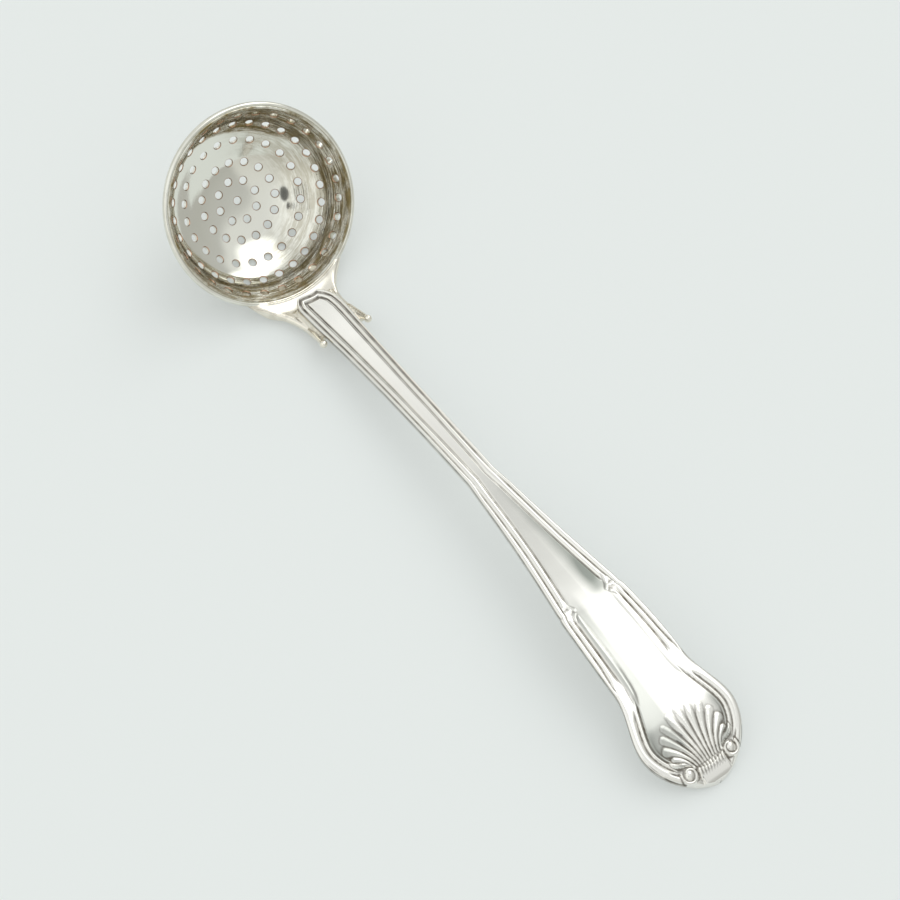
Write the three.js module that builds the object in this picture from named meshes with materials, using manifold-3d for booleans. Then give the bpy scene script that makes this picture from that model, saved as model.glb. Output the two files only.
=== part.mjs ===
// Silver sifter ladle of thread-and-shell form, lying on a table on its bowl and the tip of its handle.
// A raised and pierced round bowl carries a half-round rim wire. A forged yoke hugs the bowl's outside and
// cradles the root of a struck handle. The handle has a double thread along its edges and a shell at its end.
// Millimetres, +Z up, +X from the bowl towards the handle's tip. Solder seams are drawn as narrow gaps.
import * as THREE from "three";
import { mergeVertices } from "three/addons/utils/BufferGeometryUtils.js";
import Module from "manifold-3d";

const wasm = await Module();
wasm.setup();

// Seams and wear
const solderGap = 0.12; // between two pieces that are soldered together
const bowlWearFlat = 0.12; // depth worn off the bowl where it rests on the table
const tipWearFlat = 0.6; // depth worn off the handle's tip where it rests

// Bowl
const bowlInnerRadius = 20.5; // at the mouth
const bowlDepth = 14;
const bowlWall = 0.7;
const bowlFlatness = 2.9; // a higher power gives a flatter floor and steeper walls
const bowlFlare = 0.78; // a lower power gives steeper walls at the mouth
const bowlPitch = 45.5; // degrees that the mouth leans towards the handle's tip
const bowlSegments = 36;
const bowlProfileSteps = 8;

// Piercing, one hole in the middle and five rings round it
const holeRadius = 0.85;
const holeSides = 6;
const ringCounts = [8, 15, 22, 28, 29];
const ringTurns = [1, 0, -2, -3, 3]; // degrees that each ring is turned from the handle's side
const ringSpread = 1.05; // over 1, the rings stand wider apart towards the mouth
const lipMargin = 3.5; // from the last ring to the mouth, along the wall

// Rim wire, half round, soldered round the outside of the mouth
const wireWidth = 0.8;
const wireHeight = 1.7;
const wireSides = 0.25; // share of the width that the wire's flat sides take
const wireSteps = 5;

// Handle in plan, from its root at the yoke to its tip
const rootSetback = 1.7; // from the rim's outer edge to the root of the handle
const stemLength = 61.4;
const flareLength = 36.5;
const fiddleLength = 19;
const neckLength = 12.5;
const terminalLength = 11.3;
const rootHalfWidth = 4.6;
const stemHalfWidth = 3.35;
const leftSetback = 3; // how far the left corner of the root lies behind its front
const rightSetback = 5.8; // and the right corner, so the front slants
const frontDip = 0.4; // the front is dished by this much in the middle
const frontDipReach = 1.5;
const rootBlend = 14; // length over which the slant of the front dies out along the handle
const kinkStep = 0.5; // the small shoulder where the stem starts to widen
const flareHalfWidth = 7.6;
const flareSag = 0.35;
const fiddleHalfWidth = 8.6;
const fiddleStep = 0.85; // the fiddle starts this much narrower than it ends
const cuspDepth = 0.7; // nick in the outline between flare and fiddle
const cuspReach = 1.2;
const terminalHalfWidth = 11.65;
const terminalRoundness = 1.8; // 2 would be an ellipse

// Handle from the side, heights above the table of its upper face, and slopes there
const rootRise = 3.44; // from the rim's lowest point to the root's upper face
const shoulderRun = 14.6; // from the root to where the stem rises freely
const shoulderRise = 1.3;
const shoulderSlope = 0.135;
const rootSlope = 0.04;
const crownHeight = 12.7;
const crownRun = 26; // how far past the kink the crown of the arch lies
const waistHeight = 10.6;
const waistSlope = -0.24;
const tipSlope = -0.5;

// Handle's thickness, measured straight down
const rootThickness = 3.1;
const stemThickness = 3;
const waistThickness = 2.4;
const tipThickness = 2.8;
const sideShare = 0.5; // share of the thickness that the upright sides take, above the rounded underside
const underRoundness = 3.5; // a higher power gives a flatter underside

// Threads along the handle's edges
const outerThread = 0.95;
const innerThread = 1.25;
const threadGroove = 0.3;
const edgeDrop = 0.25;
const panelSink = 0.12;
const panelStep = 0.45; // from the inner groove to the panel
const terminalEdgeExtra = 0.8; // the outer thread is this much wider round the terminal

// Shell, its ribbed band, and the two scrolls beside it
const lobeCount = 11;
const lobeFan = 11.2; // degrees between two lobes
const lobeLength = 11.2;
const lobeTaper = 0.24; // how much shorter the lobes get away from the middle, times the number squared
const lobePitch = 0.5; // between the roots of two lobes
const lobeTipRadius = 1.35;
const lobeRootRadius = 0.3;
const lobeHeight = 0.55; // share of its half width that a lobe stands up
const shellFromTip = 4.4; // from the handle's tip to the roots of the lobes
const bandRidges = 9;
const bandLength = 1.4;
const bandRidgeRadius = 0.3;
const tipBeadLength = 2.4;
const tipBeadHalfWidth = 3.4;
const tipBeadHeight = 0.5;
const scrollRadius = 2;
const scrollHeight = 0.75;
const scrollFromTip = 4.2;
const scrollOffset = 5.35; // from the middle line to a scroll's centre
const notchBeadRadius = 0.95; // the curl that ends the first run of the inner thread
const notchBeadHeight = 0.45;

// Yoke
const wingAngle = 38; // degrees round the mouth from the handle to a wing's end
const wingThickness = 3; // from the bowl's wall outwards, where the wings meet at the handle
const wingDepth = 6; // of the turned blank that the wings are cut from
const filletReach = 2.6; // the fillet towards a wing starts this much wider than the yoke's waist
const filletRun = 4.9; // from the handle's root to the yoke's waist
const yokeHalfWidth = 5.15; // at its waist beside the stem
const spurHalfWidth = 6.3;
const spurThickness = 0.7;
const spurRun = 4.5; // length of the curve that leads out to a spur
const yokeLength = 14; // from the handle's root to the end of the spurs
const yokeCheek = 1.5; // how far the yoke's upper edge lies under the handle's upper face
const yokeBelly = 1.5; // thickness of the yoke under the handle
const yokeHeelHeight = 0.7; // of the yoke's underside below the rim
const yokeShoulderRun = 1.4; // from the handle's root to where the yoke's upper edge meets its cheeks
const yokeShoulderDrop = 0.9; // of the upper edge there, under the cheeks

const radians = (degrees) => (degrees * Math.PI) / 180;
const clamp01 = (t) => Math.min(1, Math.max(0, t));
const mix = (a, b, t) => a + (b - a) * t;
const smooth = (t) => clamp01(t) ** 2 * (3 - 2 * clamp01(t));

// Cubic curve between two heights with given slopes, over a run of length run
function hermite(t, run, start, startSlope, end, endSlope) {
  const rise = t * t * (3 - 2 * t);
  return (
    start * (1 - rise) + end * rise + run * startSlope * t * (1 - t) ** 2 - run * endSlope * t * t * (1 - t)
  );
}

// Solids
function solid(geometry) {
  const bare = geometry.clone();
  bare.deleteAttribute("normal");
  bare.deleteAttribute("uv");
  const merged = mergeVertices(bare, 1e-4);
  return new wasm.Manifold(
    new wasm.Mesh({
      numProp: 3,
      vertProperties: merged.attributes.position.array,
      triVerts: new Uint32Array(merged.index.array),
    }),
  );
}

function geometryOf(body) {
  const mesh = body.getMesh();
  const geometry = new THREE.BufferGeometry();
  geometry.setAttribute("position", new THREE.BufferAttribute(mesh.vertProperties, mesh.numProp));
  geometry.setIndex(new THREE.BufferAttribute(mesh.triVerts, 1));
  geometry.computeVertexNormals();
  return geometry;
}

// A turned solid about Z, from a profile of [radius, height] that runs from the bottom up round its outside
function turned(profile, segments) {
  const points = profile.map(([radius, height]) => new THREE.Vector2(radius, height));
  return new THREE.LatheGeometry(points, segments).rotateX(Math.PI / 2);
}

// A closed skin over rings of points. In each ring the second half lies under the first, in reverse order,
// so an end is closed by a strip between the two halves.
function loft(rings) {
  const count = rings[0].length;
  const index = [];
  const quad = (a, b, c, d) => index.push(a, b, c, a, c, d);
  for (let i = 0; i + 1 < rings.length; i += 1) {
    for (let j = 0; j < count; j += 1) {
      const next = (j + 1) % count;
      quad(i * count + j, (i + 1) * count + j, (i + 1) * count + next, i * count + next);
    }
  }
  const last = (rings.length - 1) * count;
  for (let j = 0; j + 1 < count / 2; j += 1) {
    quad(j, j + 1, count - 2 - j, count - 1 - j);
    quad(last + count - 1 - j, last + count - 2 - j, last + j + 1, last + j);
  }
  const geometry = new THREE.BufferGeometry();
  geometry.setAttribute("position", new THREE.Float32BufferAttribute(rings.flat(2), 3));
  geometry.setIndex(index);
  return geometry;
}

// Bowl's wall as a curve from the middle of the floor to the mouth, in radius and height below the mouth
function wallDepth(radius, mouthRadius, depth) {
  return depth * Math.max(0, 1 - (radius / mouthRadius) ** bowlFlatness) ** bowlFlare;
}

function wallProfile(mouthRadius, depth, steps) {
  const fine = [];
  for (let i = 0; i <= 200; i += 1) {
    const radius = mouthRadius * Math.sin((i / 200) * (Math.PI / 2));
    fine.push(new THREE.Vector2(radius, -wallDepth(radius, mouthRadius, depth)));
  }
  const path = new THREE.CurvePath();
  fine.slice(1).forEach((point, i) => path.add(new THREE.LineCurve(fine[i], point)));
  const points = [];
  for (let i = 0; i <= steps; i += 1) points.push(path.getPointAt(i / steps));
  return { path, points };
}

const outerRadius = bowlInnerRadius + bowlWall;
const wireInner = outerRadius + solderGap;
const rimRadius = wireInner + wireWidth;
const innerWall = wallProfile(bowlInnerRadius, bowlDepth, bowlProfileSteps);
const outerWall = wallProfile(outerRadius, bowlDepth + bowlWall, bowlProfileSteps);

function bowlCup() {
  const outside = outerWall.points.map((p) => [p.x, p.y]);
  const inside = innerWall.points.map((p) => [p.x, p.y]).reverse();
  return solid(turned([...outside, ...inside], bowlSegments));
}

// One drill through the wall, square to it, at a distance along the wall from the middle of the floor
function drill(distance, angle) {
  const along = distance / innerWall.path.getLength();
  const place = innerWall.path.getPointAt(along);
  const slope = innerWall.path.getTangentAt(along);
  const reach = bowlWall * 5;
  const bit = new THREE.CylinderGeometry(holeRadius, holeRadius, reach, holeSides);
  bit.rotateZ(Math.atan2(slope.y, slope.x)).translate(place.x, place.y, 0).rotateX(Math.PI / 2);
  return solid(bit.rotateZ(angle));
}

function piercing() {
  const span = innerWall.path.getLength() - lipMargin;
  const drills = [drill(0.001, 0)];
  ringCounts.forEach((count, ring) => {
    const distance = span * ((ring + 1) / ringCounts.length) ** ringSpread;
    for (let hole = 0; hole < count; hole += 1) {
      drills.push(drill(distance, radians(ringTurns[ring] + (360 * hole) / count)));
    }
  });
  return wasm.Manifold.union(drills);
}

function rimRing(grow) {
  const inner = wireInner - grow;
  const bottom = -wireHeight - grow;
  const profile = [[inner, bottom]];
  for (let i = 0; i <= wireSteps; i += 1) {
    const turn = Math.PI * (i / wireSteps - 0.5);
    const round = (wireWidth * (1 - wireSides) + grow) * Math.cos(turn);
    profile.push([wireInner + wireWidth * wireSides + round, mix(bottom, grow, 0.5 + 0.5 * Math.sin(turn))]);
  }
  profile.push([inner, grow], [inner, bottom]);
  return turned(profile, bowlSegments);
}

// Where the bowl stands, its mouth leaning towards the handle and its underside worn flat on the table
const pitch = radians(bowlPitch);
const lowest = Math.min(...outerWall.points.map((p) => p.y * Math.cos(pitch) - p.x * Math.sin(pitch)));
const bowlHeight = -lowest - bowlWearFlat;
const bowlPlace = new THREE.Matrix4()
  .makeTranslation(0, 0, bowlHeight)
  .multiply(new THREE.Matrix4().makeRotationY(pitch));
const rimNear = { x: rimRadius * Math.cos(pitch), z: bowlHeight - rimRadius * Math.sin(pitch) };

const slabSize = 600;

function slab(height) {
  return solid(new THREE.BoxGeometry(slabSize, slabSize, slabSize).translate(0, 0, height - slabSize / 2));
}

// Handle's plan
const rootX = rimNear.x + rootSetback;
const kinkX = rootX + stemLength;
const cuspX = kinkX + flareLength;
const waistX = cuspX + fiddleLength;
const fullX = waistX + neckLength;
const tipX = fullX + terminalLength;

function halfWidth(x) {
  if (x <= kinkX) return mix(stemHalfWidth, rootHalfWidth, (1 - clamp01((x - rootX) / stemLength)) ** 3);
  const cusp = cuspDepth * clamp01(1 - Math.abs(x - cuspX) / cuspReach);
  if (x <= cuspX) {
    const t = (x - kinkX) / flareLength;
    const start = stemHalfWidth + kinkStep * smooth((x - kinkX) / (4 * kinkStep));
    return start + (flareHalfWidth - stemHalfWidth - kinkStep) * t - flareSag * Math.sin(Math.PI * t) - cusp;
  }
  if (x <= waistX) {
    const t = (x - cuspX) / fiddleLength;
    const start = Math.min(flareHalfWidth + 0.1, fiddleHalfWidth - fiddleStep);
    return mix(start, fiddleHalfWidth, Math.sin((t * Math.PI) / 2)) - cusp;
  }
  if (x <= fullX) return mix(fiddleHalfWidth, terminalHalfWidth, smooth((x - waistX) / neckLength));
  const u = clamp01((x - fullX) / terminalLength);
  return terminalHalfWidth * (1 - u ** terminalRoundness) ** (1 / terminalRoundness);
}

// Handle's upper face along its middle, from the side
const rootHeight = rimNear.z + rootRise;
const tipHeight = tipThickness - tipWearFlat;
const profileNodes = [
  [rootX, rootHeight, rootSlope],
  [rootX + shoulderRun, rootHeight + shoulderRise, shoulderSlope],
  [kinkX + crownRun, crownHeight, 0],
  [waistX, waistHeight, waistSlope],
  [tipX, tipHeight, tipSlope],
];

function spineHeight(x) {
  const last = profileNodes.length - 2;
  let i = 0;
  while (i < last && x > profileNodes[i + 1][0]) i += 1;
  const [x0, z0, slope0] = profileNodes[i];
  const [x1, z1, slope1] = profileNodes[i + 1];
  return hermite(clamp01((x - x0) / (x1 - x0)), x1 - x0, z0, slope0, z1, slope1);
}

function thickness(x) {
  if (x <= kinkX) return mix(rootThickness, stemThickness, (x - rootX) / stemLength);
  if (x <= waistX) return mix(stemThickness, waistThickness, smooth((x - kinkX) / (waistX - kinkX)));
  return mix(waistThickness, tipThickness, smooth((x - waistX) / (tipX - waistX)));
}

// Width of the outer thread, wider round the terminal
const edgeBand = (x) => outerThread + terminalEdgeExtra * smooth((x - waistX) / (neckLength * 0.5));

// Height of the thread pattern over the spine at a distance from the edge
function relief(distance, x) {
  const outer = edgeBand(x);
  const inner = outer + innerThread;
  const atKink = 1 - smooth(1.6 - Math.abs(x - kinkX) / 2.5);
  const atCusp = 1 - smooth(1.6 - Math.abs(x - cuspX) / 1.5);
  const atWaist = 1 - smooth(1.6 - Math.abs(x - waistX - 2) / 2);
  const atScroll = 1 - smooth((x - (tipX - scrollFromTip - scrollRadius)) / 1.5);
  const outerCut = -threadGroove * atKink * atWaist * atScroll;
  const innerCut = -threadGroove * atCusp * atWaist * atScroll;
  const steps = [
    [0, -edgeDrop],
    [outer / 2, 0],
    [outer, outerCut],
    [(outer + inner) / 2, 0],
    [inner, innerCut - 0.05],
    [inner + panelStep, -panelSink],
  ];
  if (distance >= inner + panelStep) return -panelSink;
  let i = 0;
  while (distance > steps[i + 1][0]) i += 1;
  return mix(steps[i][1], steps[i + 1][1], (distance - steps[i][0]) / (steps[i + 1][0] - steps[i][0]));
}

// Distances from the edge at which the handle has a line of points, and lines across the panel
function edgeLines(x) {
  const outer = edgeBand(x);
  const inner = outer + innerThread;
  return [0, outer / 2, outer, (outer + inner) / 2, inner, inner + panelStep];
}

// One cross-section, first its upper face and then its underside, which is round. The grow value makes a
// slightly larger section that cuts a seat for the handle.
function section(x, grow) {
  const width = Math.max(halfWidth(x), 1.2);
  const top = spineHeight(x);
  const deep = thickness(x);
  const lines = edgeLines(x);
  const squeeze = Math.min(1, (0.8 * width) / lines.at(-1));
  const rows = lines.map((line) => [width - line * squeeze, line]);
  const half = [...rows, [rows.at(-1)[0] / 2, lines.at(-1) + 1]];
  const across = [...half.map(([y, line]) => [-y, line]), [0, lines.at(-1) + 2], ...half.reverse()];
  const upper = across.map(([y, line]) => {
    const level = grow > 0 ? 8 * edgeDrop : relief(Math.min(line, x - rootX), x);
    return [y * (1 + grow / width), top + level];
  });
  const lower = across.map(([y]) => {
    const round = Math.sqrt(1 - Math.abs(y / width) ** underRoundness);
    return [y * (1 + grow / width), top - deep * mix(sideShare, 1, round) - grow];
  });
  return [...upper, ...lower.reverse()];
}

// The root's end in plan: it slants, with rounded corners and a shallow dip in the middle
function rootCurve(y) {
  const share = Math.abs(y) / rootHalfWidth;
  const corner = y < 0 ? leftSetback * share ** 6 : rightSetback * share ** 4;
  return corner + frontDip * Math.exp(-((y / frontDipReach) ** 2));
}

function handleStations() {
  const stations = [];
  const fill = (from, to, count) => {
    for (let i = 0; i < count; i += 1) stations.push(mix(from, to, i / count));
  };
  edgeLines(rootX).forEach((line) => stations.push(rootX + line));
  fill(stations.at(-1) + 2, rootX + rootBlend, 3);
  fill(rootX + rootBlend, kinkX - 4, 6);
  fill(kinkX - 4, kinkX + 4, 6);
  fill(kinkX + 4, cuspX - cuspReach * 2, 6);
  fill(cuspX - cuspReach * 2, cuspX + cuspReach * 2, 8);
  fill(cuspX + cuspReach * 2, waistX - 2, 4);
  fill(waistX - 2, waistX + 6, 6);
  fill(waistX + 6, fullX, 4);
  const steps = 10;
  for (let i = 0; i <= steps; i += 1) {
    stations.push(fullX + (terminalLength - 0.08) * Math.sin((i / steps) * (Math.PI / 2)));
  }
  return stations;
}

function handleBlank(grow) {
  const rings = handleStations().map((x, i) => {
    const fade = (1 - clamp01((x - rootX) / rootBlend)) ** 2;
    const shift = grow > 0 && i === 0 ? -grow : 0;
    return section(x, grow).map(([y, z]) => [x + shift + fade * rootCurve(y), y, z]);
  });
  return solid(loft(rings));
}

// Lays a flat ornament on the handle's upper face
function laid(geometry) {
  const place = geometry.attributes.position;
  for (let i = 0; i < place.count; i += 1) {
    place.setZ(i, place.getZ(i) + spineHeight(place.getX(i)) - panelSink);
  }
  return solid(geometry);
}

function lobe(k) {
  const length = lobeLength - lobeTaper * k * k;
  const points = [[0, 0], [lobeRootRadius, 0]];
  const steps = 3;
  for (let i = 1; i <= steps; i += 1) {
    const swell = mix(lobeRootRadius, lobeTipRadius, (i / steps) ** 0.8);
    points.push([swell, (i / steps) * (length - lobeTipRadius)]);
  }
  points.push([lobeTipRadius * 0.7, length - lobeTipRadius * 0.3], [0, length]);
  const geometry = turned(points, 8).rotateY(-Math.PI / 2).scale(1, 1, lobeHeight);
  return laid(geometry.rotateZ(-radians(k * lobeFan)).translate(tipX - shellFromTip, k * lobePitch, 0));
}

function dome(radiusX, radiusY, height, x, y) {
  const geometry = new THREE.SphereGeometry(1, 8, 4).rotateX(Math.PI / 2);
  return laid(geometry.scale(radiusX, radiusY, height).translate(x, y, 0));
}

function scroll(side) {
  const r = scrollRadius;
  const h = scrollHeight;
  const hidden = [[0, -h], [r * 0.9, -h], [r, 0]];
  const shown = [[r * 0.85, h * 0.7], [r * 0.62, h * 0.35], [r * 0.35, h * 0.9], [0, h]];
  const button = turned([...hidden, ...shown], 12);
  return laid(button.translate(tipX - scrollFromTip, side * scrollOffset, 0));
}

function shellOrnament() {
  const parts = [];
  const half = (lobeCount - 1) / 2;
  for (let k = -half; k <= half; k += 1) parts.push(lobe(k));
  for (let ridge = 0; ridge < bandRidges; ridge += 1) {
    const y = (ridge - (bandRidges - 1) / 2) * bandRidgeRadius * 2.1;
    parts.push(dome(bandLength / 2, bandRidgeRadius, lobeHeight, tipX - shellFromTip + bandLength * 0.45, y));
  }
  const beadX = tipX - tipBeadLength * 0.62;
  parts.push(dome(tipBeadLength / 2, tipBeadHalfWidth, tipBeadHeight, beadX, 0));
  for (const side of [-1, 1]) {
    parts.push(scroll(side));
    const y = side * (halfWidth(cuspX + cuspReach) - outerThread - innerThread);
    parts.push(dome(notchBeadRadius, notchBeadRadius, notchBeadHeight, cuspX, y));
  }
  return wasm.Manifold.union(parts);
}

// Yoke, cut from its plan and its side view, with seats for bowl, rim wire and handle
const yokeEnd = rootX + yokeLength;

function yokePlan() {
  const corner = { x: rimNear.x, y: yokeHalfWidth + filletReach };
  const waist = { x: rootX + filletRun, y: yokeHalfWidth };
  const plan = new THREE.Shape();
  plan.moveTo(yokeEnd - spurThickness / 2, yokeHalfWidth - 2 * spurThickness);
  plan.lineTo(yokeEnd, spurHalfWidth - spurThickness);
  plan.lineTo(yokeEnd - spurThickness, spurHalfWidth);
  plan.quadraticCurveTo(yokeEnd - spurRun, yokeHalfWidth, waist.x, waist.y);
  plan.quadraticCurveTo(mix(corner.x, waist.x, 0.35), mix(waist.y, corner.y, 0.15), corner.x, corner.y);
  plan.lineTo(rimNear.x * 0.75, corner.y);
  plan.lineTo(rimNear.x * 0.75, 0);
  const half = plan.getPoints(5);
  const other = half.map((p) => new THREE.Vector2(p.x, -p.y)).reverse();
  const outline = new THREE.Shape([...half, ...other]);
  return solid(new THREE.ExtrudeGeometry(outline, { depth: 20, bevelEnabled: false }));
}

function yokeSide() {
  const mouth = (x) => rimNear.z + (rimNear.x - x) * Math.tan(pitch);
  const cheek = (x) => spineHeight(x) - yokeCheek;
  const belly = (x) => spineHeight(x) - thickness(x) - yokeBelly;
  const back = rimNear.x * 0.5;
  const middle = rootX + yokeLength / 2;
  const shoulder = rootX + yokeShoulderRun;
  const side = new THREE.Shape();
  side.moveTo(back, mouth(back));
  side.lineTo(rimNear.x, rimNear.z);
  side.lineTo(shoulder, cheek(shoulder) - yokeShoulderDrop);
  side.lineTo(middle, cheek(middle));
  side.lineTo(yokeEnd, cheek(yokeEnd));
  side.lineTo(yokeEnd, spineHeight(yokeEnd) - thickness(yokeEnd) - spurThickness);
  side.lineTo(middle, belly(middle));
  side.lineTo(shoulder, belly(shoulder));
  side.lineTo(rimNear.x * 0.8, yokeHeelHeight);
  side.lineTo(back, yokeHeelHeight);
  const depth = 40;
  const geometry = new THREE.ExtrudeGeometry(side, { depth, bevelEnabled: false });
  return solid(geometry.rotateX(Math.PI / 2).translate(0, depth / 2, 0));
}

// The room that the bowl fills, grown by a gap
function bowlBlank(grow) {
  const wall = wallProfile(outerRadius + grow, bowlDepth + bowlWall + grow, bowlProfileSteps);
  const profile = [...wall.points.map((p) => [p.x, p.y]), [outerRadius + grow, 8], [0, 8]];
  return solid(turned(profile, bowlSegments).applyMatrix4(bowlPlace));
}

// The wings: a shallow round blank that stands past the bowl's wall on the handle's side only
function wingBlank() {
  const end = radians(wingAngle);
  const tip = new THREE.Vector2(outerRadius * Math.cos(end), outerRadius * Math.sin(end));
  const front = outerRadius + wingThickness;
  const centre = (front ** 2 - tip.lengthSq()) / (2 * (front - tip.x));
  const wall = wallProfile(front - centre, wingDepth, bowlProfileSteps);
  const profile = [...wall.points.map((p) => [p.x, p.y]), [0, 0]];
  return solid(turned(profile, 2 * bowlSegments).translate(centre, 0, 0).applyMatrix4(bowlPlace));
}

function yoke() {
  const blank = yokePlan().intersect(yokeSide()).add(wingBlank());
  const ringSeat = solid(rimRing(solderGap).applyMatrix4(bowlPlace));
  return blank.subtract(bowlBlank(solderGap)).subtract(ringSeat).subtract(handleBlank(solderGap));
}

// Assembly
function silver(color, roughness) {
  return new THREE.MeshStandardMaterial({ color, roughness, metalness: 1 });
}

function piece(name, body, material) {
  const mesh = new THREE.Mesh(geometryOf(body), material);
  mesh.name = name;
  return mesh;
}

const spoon = new THREE.Group();
const table = slab(0);
const tableInBowl = table.transform(bowlPlace.clone().invert().elements);
const bowlGroup = new THREE.Group();
bowlGroup.rotation.y = pitch;
bowlGroup.position.z = bowlHeight;
bowlGroup.add(
  piece("bowl", bowlCup().subtract(piercing()).subtract(tableInBowl), silver(0xd9d4c8, 0.18)),
  piece("rim_wire", solid(rimRing(0)), silver(0xe2ddd2, 0.16)),
);
spoon.add(
  bowlGroup,
  piece("shoulder_yoke", yoke().subtract(table), silver(0xd5cfc2, 0.22)),
  piece("handle", handleBlank(0).add(shellOrnament()).subtract(table), silver(0xdcd7cc, 0.2)),
);
const reach = new THREE.Box3().setFromObject(spoon, true);
spoon.position.x = -(reach.min.x + reach.max.x) / 2;

export default spoon;
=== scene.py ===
# Silver sifter ladle of thread-and-shell form: pierced bowl, rim wire, forged yoke and struck handle.
# Laid out as a Blender add-on. Sizes are worked out in millimetres in plan, from the middle of the bowl's mouth,
# and go into the meshes in metres in the frame's own place. Left and right are as the photograph shows them:
# left is where y is less than 0.
import math

import bpy
import numpy as np
from bpy.props import FloatProperty, FloatVectorProperty, IntProperty, IntVectorProperty, PointerProperty
from bpy.props import StringProperty
from mathutils import Matrix, Vector, kdtree


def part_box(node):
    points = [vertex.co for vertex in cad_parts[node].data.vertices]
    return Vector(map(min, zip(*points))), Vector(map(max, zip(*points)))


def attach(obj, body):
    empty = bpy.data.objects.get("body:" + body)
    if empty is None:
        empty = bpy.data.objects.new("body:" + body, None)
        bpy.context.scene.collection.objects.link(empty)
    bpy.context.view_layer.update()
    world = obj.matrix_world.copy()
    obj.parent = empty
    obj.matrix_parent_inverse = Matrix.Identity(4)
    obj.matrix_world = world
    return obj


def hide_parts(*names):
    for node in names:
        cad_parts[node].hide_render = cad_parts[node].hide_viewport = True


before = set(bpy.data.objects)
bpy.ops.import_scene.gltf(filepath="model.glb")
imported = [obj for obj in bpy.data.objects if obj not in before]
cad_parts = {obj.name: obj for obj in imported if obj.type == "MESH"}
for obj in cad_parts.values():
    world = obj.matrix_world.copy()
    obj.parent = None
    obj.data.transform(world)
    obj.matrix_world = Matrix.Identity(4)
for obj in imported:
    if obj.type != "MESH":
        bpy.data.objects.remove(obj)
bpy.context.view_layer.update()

bl_info = {
    "name": "Sifter Ladle",
    "version": (1, 0, 0),
    "blender": (4, 5, 0),
    "location": "3D View > Sidebar > Sifter Ladle",
    "description": "Builds a pierced silver sifter ladle, piece by piece",
    "category": "Add Mesh",
}

MM = 0.001
HANDLE_REACH = 157.823  # from the middle of the bowl's mouth to the handle's tip, in plan
MOUTH_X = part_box("handle")[1].x / MM - HANDLE_REACH
MOUTH_Z = 17.823  # height of the middle of the mouth over the table


# Sizes and colours that a user may change

def length(name, description, millimetres):
    """A size, kept in metres."""
    return FloatProperty(name=name, description=description, default=millimetres * MM, unit="LENGTH",
                         subtype="DISTANCE", precision=5)


def lengths(name, description, millimetres):
    """A row of sizes, kept in metres."""
    return FloatVectorProperty(name=name, description=description, size=len(millimetres),
                               default=[value * MM for value in millimetres], unit="LENGTH", subtype="NONE",
                               precision=5)


def angle(name, description, degrees):
    return FloatProperty(name=name, description=description, default=math.radians(degrees), unit="ROTATION",
                         subtype="ANGLE")


def colour(name, description, code):
    return StringProperty(name=name, description=description + ", as an sRGB hex value", default=code)


class BowlSizes(bpy.types.PropertyGroup):
    mouth_radius: length("Mouth radius", "Inside the bowl, at the mouth", 20.5)
    depth: length("Depth", "From the mouth to the middle of the floor, inside", 14)
    wall: length("Wall", "Thickness of the sheet", 0.7)
    crease: length("Crease", "How much further out the inside turns up from the floor", 0.5)
    foot: length("Foot", "How much thicker the wall is where it turns up from the floor", 0.5)
    upper: length("Upper wall", "How much thicker the wall is between the foot and the rim wire", 0.65)
    flatness: FloatProperty(name="Flatness", description="A higher power gives a flatter floor", default=2.9)
    flare: FloatProperty(name="Flare", description="A lower power gives steeper walls at the mouth",
                         default=0.78)
    lean: angle("Lean", "How far the mouth leans towards the handle's tip", 45.5)
    floor_arc: length("Polished floor", "Along the wall, from the middle of the floor to the crease", 20.3)
    planishing: length("Planishing", "Depth of the hammer marks left on the steep wall", 0.016)
    hole_radius: length("Hole radius", "Of each pierced hole", 0.85)
    hole_chamfer: length("Hole chamfer", "Width of the rounded edge round each hole", 0.12)
    ring_counts: IntVectorProperty(name="Holes in each ring", description="From the middle outwards", size=5,
                                   default=(8, 15, 22, 28, 29))
    ring_arcs: lengths("Ring distances", "Along the wall from the middle of the floor to each ring",
                       (4.6, 8.7, 14.2, 18.9, 23.8))
    ring_turns: FloatVectorProperty(name="Ring turns", description="How far each ring is turned from the handle",
                                    size=5, default=[math.radians(a) for a in (1, 0, -2, -3, 3)],
                                    unit="ROTATION", subtype="NONE")
    silver: colour("Silver", "Colour of the polished silver", "#EAE9E0")
    # The khaki on the wall is partly tarnish and partly painted shade; the same colour paints a cream reflection
    # on one side of the floor
    tarnish: colour("Tarnish", "Colour of the khaki bloom on the wall", "#8A7C57")


class RimSizes(bpy.types.PropertyGroup):
    width: length("Width", "Of the half-round wire", 0.8)
    height: length("Height", "Of the wire, along the bowl's axis", 1.7)
    swell: length("Swell", "How much wider the rim grows towards the handle", 0.45)
    swell_angle: angle("Swell angle", "How far round the mouth the swelling reaches", 22)


class HandleSizes(bpy.types.PropertyGroup):
    stem_half_width: length("Stem half width", "At the kink, where the stem is narrowest", 3.35)
    flare_half_width: length("Flare half width", "At the nick in the outline", 7.6)
    fiddle_half_width: length("Fiddle half width", "At the waist before the terminal", 8.6)
    terminal_half_width: length("Terminal half width", "At its widest", 11.65)
    groove_depth: length("Groove depth", "Of the grooves beside the threads", 0.34)
    panel_sink: length("Panel sink", "How far the panel lies under the threads", 0.1)
    panel_crown: length("Panel crown", "How much higher the panel is in the middle", 0.22)
    silver: colour("Silver", "Colour of the struck silver", "#F1EFEA")
    # Painted shade: a grey laid on parts of the panel in place of darker reflections and of shade round the shell
    painted_shade: colour("Film", "Colour of the thin grey film on parts of the panel", "#929690")
    tarnish: colour("Tarnish", "Colour in the grooves", "#4A4032")


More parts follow.
